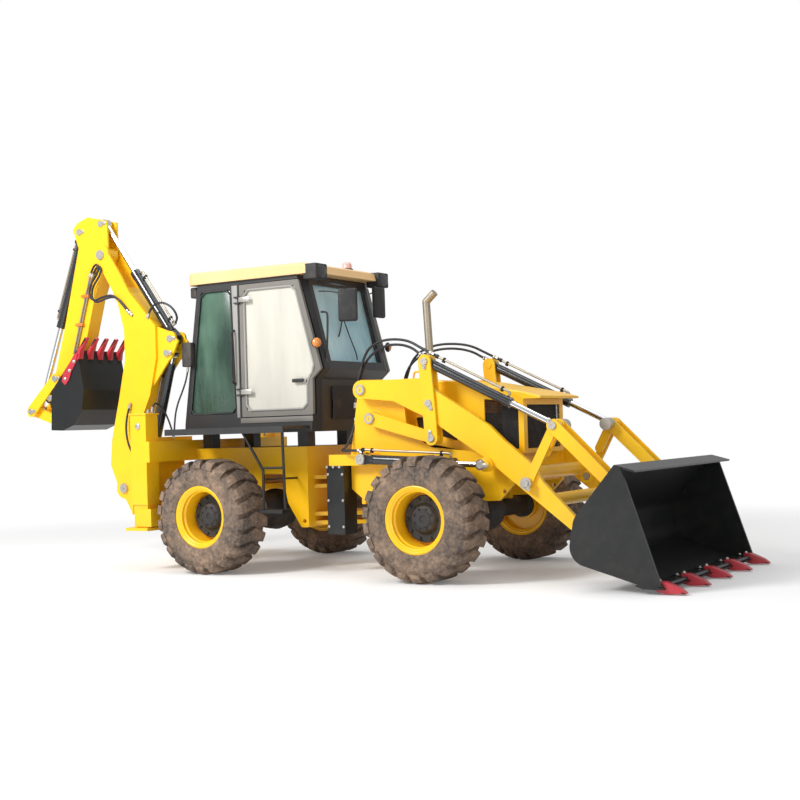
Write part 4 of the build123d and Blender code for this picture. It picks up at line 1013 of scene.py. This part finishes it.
def box_fittings():
    """Rim along the side boxes' tops, with its bolts, and the bolts of their lids."""
    bolt = turned("bolt", [(0, 0.013), (0.007, 0.013), (0.010, 0.009)], 6)
    for hand, side in SIDES:
        y0, y1 = sorted((side * 0.600, side * 0.634))
        rail = slab(f"box_rail_{hand}", (-0.095, y0, 0.958), (0.105, y1, 0.978))
        finish(rail, "front", "black_paint")
        heads = []
        for x in (-0.075, -0.005, 0.065):
            heads.append(copied(bolt, "bolt", aimed(at(x, side * 0.634, 0.968), (0, side, 0))))
        for z in (0.42, 0.66, 0.90):
            for x in (-0.075, 0.085):
                heads.append(copied(bolt, "bolt", aimed(at(x, side * 0.620, z), (0, side, 0))))
        finish(joined(f"box_bolts_{hand}", heads), "front", "pin_steel")
    bpy.data.objects.remove(bolt)


def hoe_teeth():
    """Red caps on the backhoe bucket's teeth, and the bolted red cutters on its sides."""
    outline = (
        (-2.895, 2.110), (-2.880, 2.185), (-2.800, 2.300), (-2.790, 2.312), (-2.804, 2.326),
        (-2.822, 2.326), (-2.940, 2.170), (-2.925, 2.095),
    )
    caps = []
    for n in range(TEETH):
        y = HOE_Y + HOE_TOOTH_Y * (2 * n / (TEETH - 1) - 1)
        cap = plate("cap", outline, y - 0.033, y + 0.033)
        narrowed(cap, y, 2, 2.150, 0.160)
        caps.append(rounded(cap, 0.005, 2))
    finish(joined("hoe_tooth_caps", caps), "hoe_bucket", "red_paint")
    bolt = turned("bolt", TOOTH_BOLT, 8)
    outline = (
        (-2.905, 2.165), (-2.945, 2.165), (-3.120, 1.965), (-3.140, 1.890), (-3.095, 1.850),
        (-3.040, 1.900), (-3.000, 1.985), (-2.930, 2.080),
    )
    for hand, side in SIDES:
        y = HOE_Y + side * 0.310
        low, high = sorted((y, y + side * 0.012))
        cutter = plate(f"side_cutter_{hand}", outline, low, high, 0.003)
        finish(cutter, "hoe_bucket", "red_paint")
        heads = []
        for x, z in ((-3.085, 1.915), (-3.020, 1.995), (-2.955, 2.085)):
            heads.append(copied(bolt, "bolt", aimed(at(x, y + side * 0.012, z), (0, side, 0))))
        finish(joined(f"side_cutter_bolts_{hand}", heads), "hoe_bucket", "pin_steel")
    bpy.data.objects.remove(bolt)


def leg_fittings():
    """Cap plates on the legs' housings, the ports of their cylinders, and a pin's head below the cap."""
    for hand, side in SIDES:
        y0, y1 = sorted((side * 0.918, side * 1.112))
        cap = slab(f"leg_cap_{hand}", (-2.082, y0, 1.508), (-1.858, y1, 1.526), 0.005)
        finish(cap, "rear", "yellow_paint")
        for y in (0.985, 1.045):
            port = turned(f"leg_port_{hand}", [(0, 0.020), (0.016, 0.020), (0.020, 0.014), (0.040, 0.014)], 6)
            finish(placed(port, Matrix.Translation(at(-1.885, side * y, 1.520))), "rear", "pin_steel")
        head = turned(f"leg_pin_{hand}", [(0, 0.030), (0.012, 0.030), (0.016, 0.024)], 24)
        finish(placed(head, aimed(at(-1.970, side * 1.098, 1.400), (0, side, 0))), "rear", "pin_steel")


def cab_rear_box():
    """Small black valve box on the cab's rear corner, with its cable down to the frame."""
    box = slab("rear_box", (-1.775, -0.665, 1.975), (-1.655, -0.598, 2.215), 0.014, 3)
    finish(box, "rear", "black_plastic")
    line = (
        (-1.720, -0.632, 1.980), (-1.730, -0.640, 1.880), (-1.760, -0.670, 1.750), (-1.800, -0.720, 1.600),
        (-1.820, -0.740, 1.450), (-1.830, -0.740, 1.300),
    )
    hose("rear_cable", line, THIN_HOSE_R, ("rear",))


loader_hoses()
hoe_hoses()
leg_hoses()
dipper_pipes()
hood_fittings()
box_fittings()
hoe_teeth()
leg_fittings()
cab_rear_box()


def pale_floor():
    """A floor that keeps the shadow and fades to white further out."""
    bpy.ops.object.select_all(action="DESELECT")
    bpy.ops.mesh.primitive_plane_add(size=60, location=(0, 0, -0.002))
    floor = bpy.context.object
    floor.name = "floor"
    finish = Finish("pale floor")
    finish.set(Base_Color=(0.90, 0.90, 0.90, 1), Roughness=0.9)
    glow = finish.node("ShaderNodeEmission", None, Color=(1, 1, 1, 1), Strength=1.0)
    path = finish.node("ShaderNodeLightPath")
    seen = Socket(finish.tree, path.outputs["Is Camera Ray"])
    blend = finish.node("ShaderNodeMixShader")
    reach = finish.node("ShaderNodeVectorMath", {"operation": "LENGTH"})
    finish.put(reach.inputs[0], finish.place)
    far = Socket(finish.tree, reach.outputs["Value"]).step(5.0, 9.0)
    finish.put(blend.inputs["Fac"], seen * (far * 0.88 + 0.12))
    finish.put(blend.inputs[1], finish.shader.outputs[0])
    finish.put(blend.inputs[2], glow.outputs[0])
    finish.put(finish.output.inputs["Surface"], blend.outputs[0])
    floor.data.materials.append(finish.material)


def soft_sky():
    """Even white light; the camera sees it brighter than the machine does."""
    world = bpy.data.worlds.new("soft sky")
    bpy.context.scene.world = world
    world.use_nodes = True
    tree = world.node_tree
    background = tree.nodes["Background"]
    path = tree.nodes.new("ShaderNodeLightPath")
    white = tree.nodes.new("ShaderNodeMath")
    white.operation = "MULTIPLY_ADD"
    tree.links.new(path.outputs["Is Camera Ray"], white.inputs[0])
    white.inputs[1].default_value = 0.45
    white.inputs[2].default_value = 0.55
    background.inputs["Color"].default_value = (1, 1, 1, 1)
    tree.links.new(white.outputs[0], background.inputs["Strength"])


def lamps():
    """Three soft lamps: from the right and above, from the front, and from overhead."""
    for name, power, place, size in (
        ("key", 1080, (-3.5, -8.5, 7.5), 3.0),
        ("fill", 170, (9.0, -7.0, 3.0), 5.0),
        ("top", 260, (0.0, 1.0, 9.0), 6.0),
    ):
        lamp = bpy.data.lights.new(name, "AREA")
        lamp.energy = power
        lamp.size = size
        holder = bpy.data.objects.new(name, lamp)
        bpy.context.scene.collection.objects.link(holder)
        holder.location = place
        holder.rotation_euler = (Vector((0, 0, 1.2)) - Vector(place)).to_track_quat("-Z", "Y").to_euler()


def photo_camera():
    """The camera that was fitted to the photo."""
    turn, pitch, roll = math.radians(31.954), math.radians(1.178), math.radians(-1.74)
    focal_pixels, image_pixels = 1295.3, 800
    level = Vector((math.cos(turn), math.sin(turn), 0))
    ahead = Vector((-math.sin(turn), math.cos(turn), 0))
    forward = ahead * math.cos(pitch) + Vector((0, 0, math.sin(pitch)))
    upright = level.cross(forward)
    right = level * math.cos(roll) + upright * math.sin(roll)
    up = -level * math.sin(roll) + upright * math.cos(roll)
    eye = bpy.data.cameras.new("camera")
    eye.sensor_width = 36
    eye.lens = focal_pixels / image_pixels * eye.sensor_width
    camera = bpy.data.objects.new("camera", eye)
    bpy.context.scene.collection.objects.link(camera)
    look = Matrix((right, up, -forward)).transposed().to_4x4()
    camera.matrix_world = Matrix.Translation(at(6.831, -10.399, 1.321)) @ look
    bpy.context.scene.camera = camera


pale_floor()
soft_sky()
lamps()
photo_camera()
bpy.context.scene.view_settings.view_transform = "Standard"
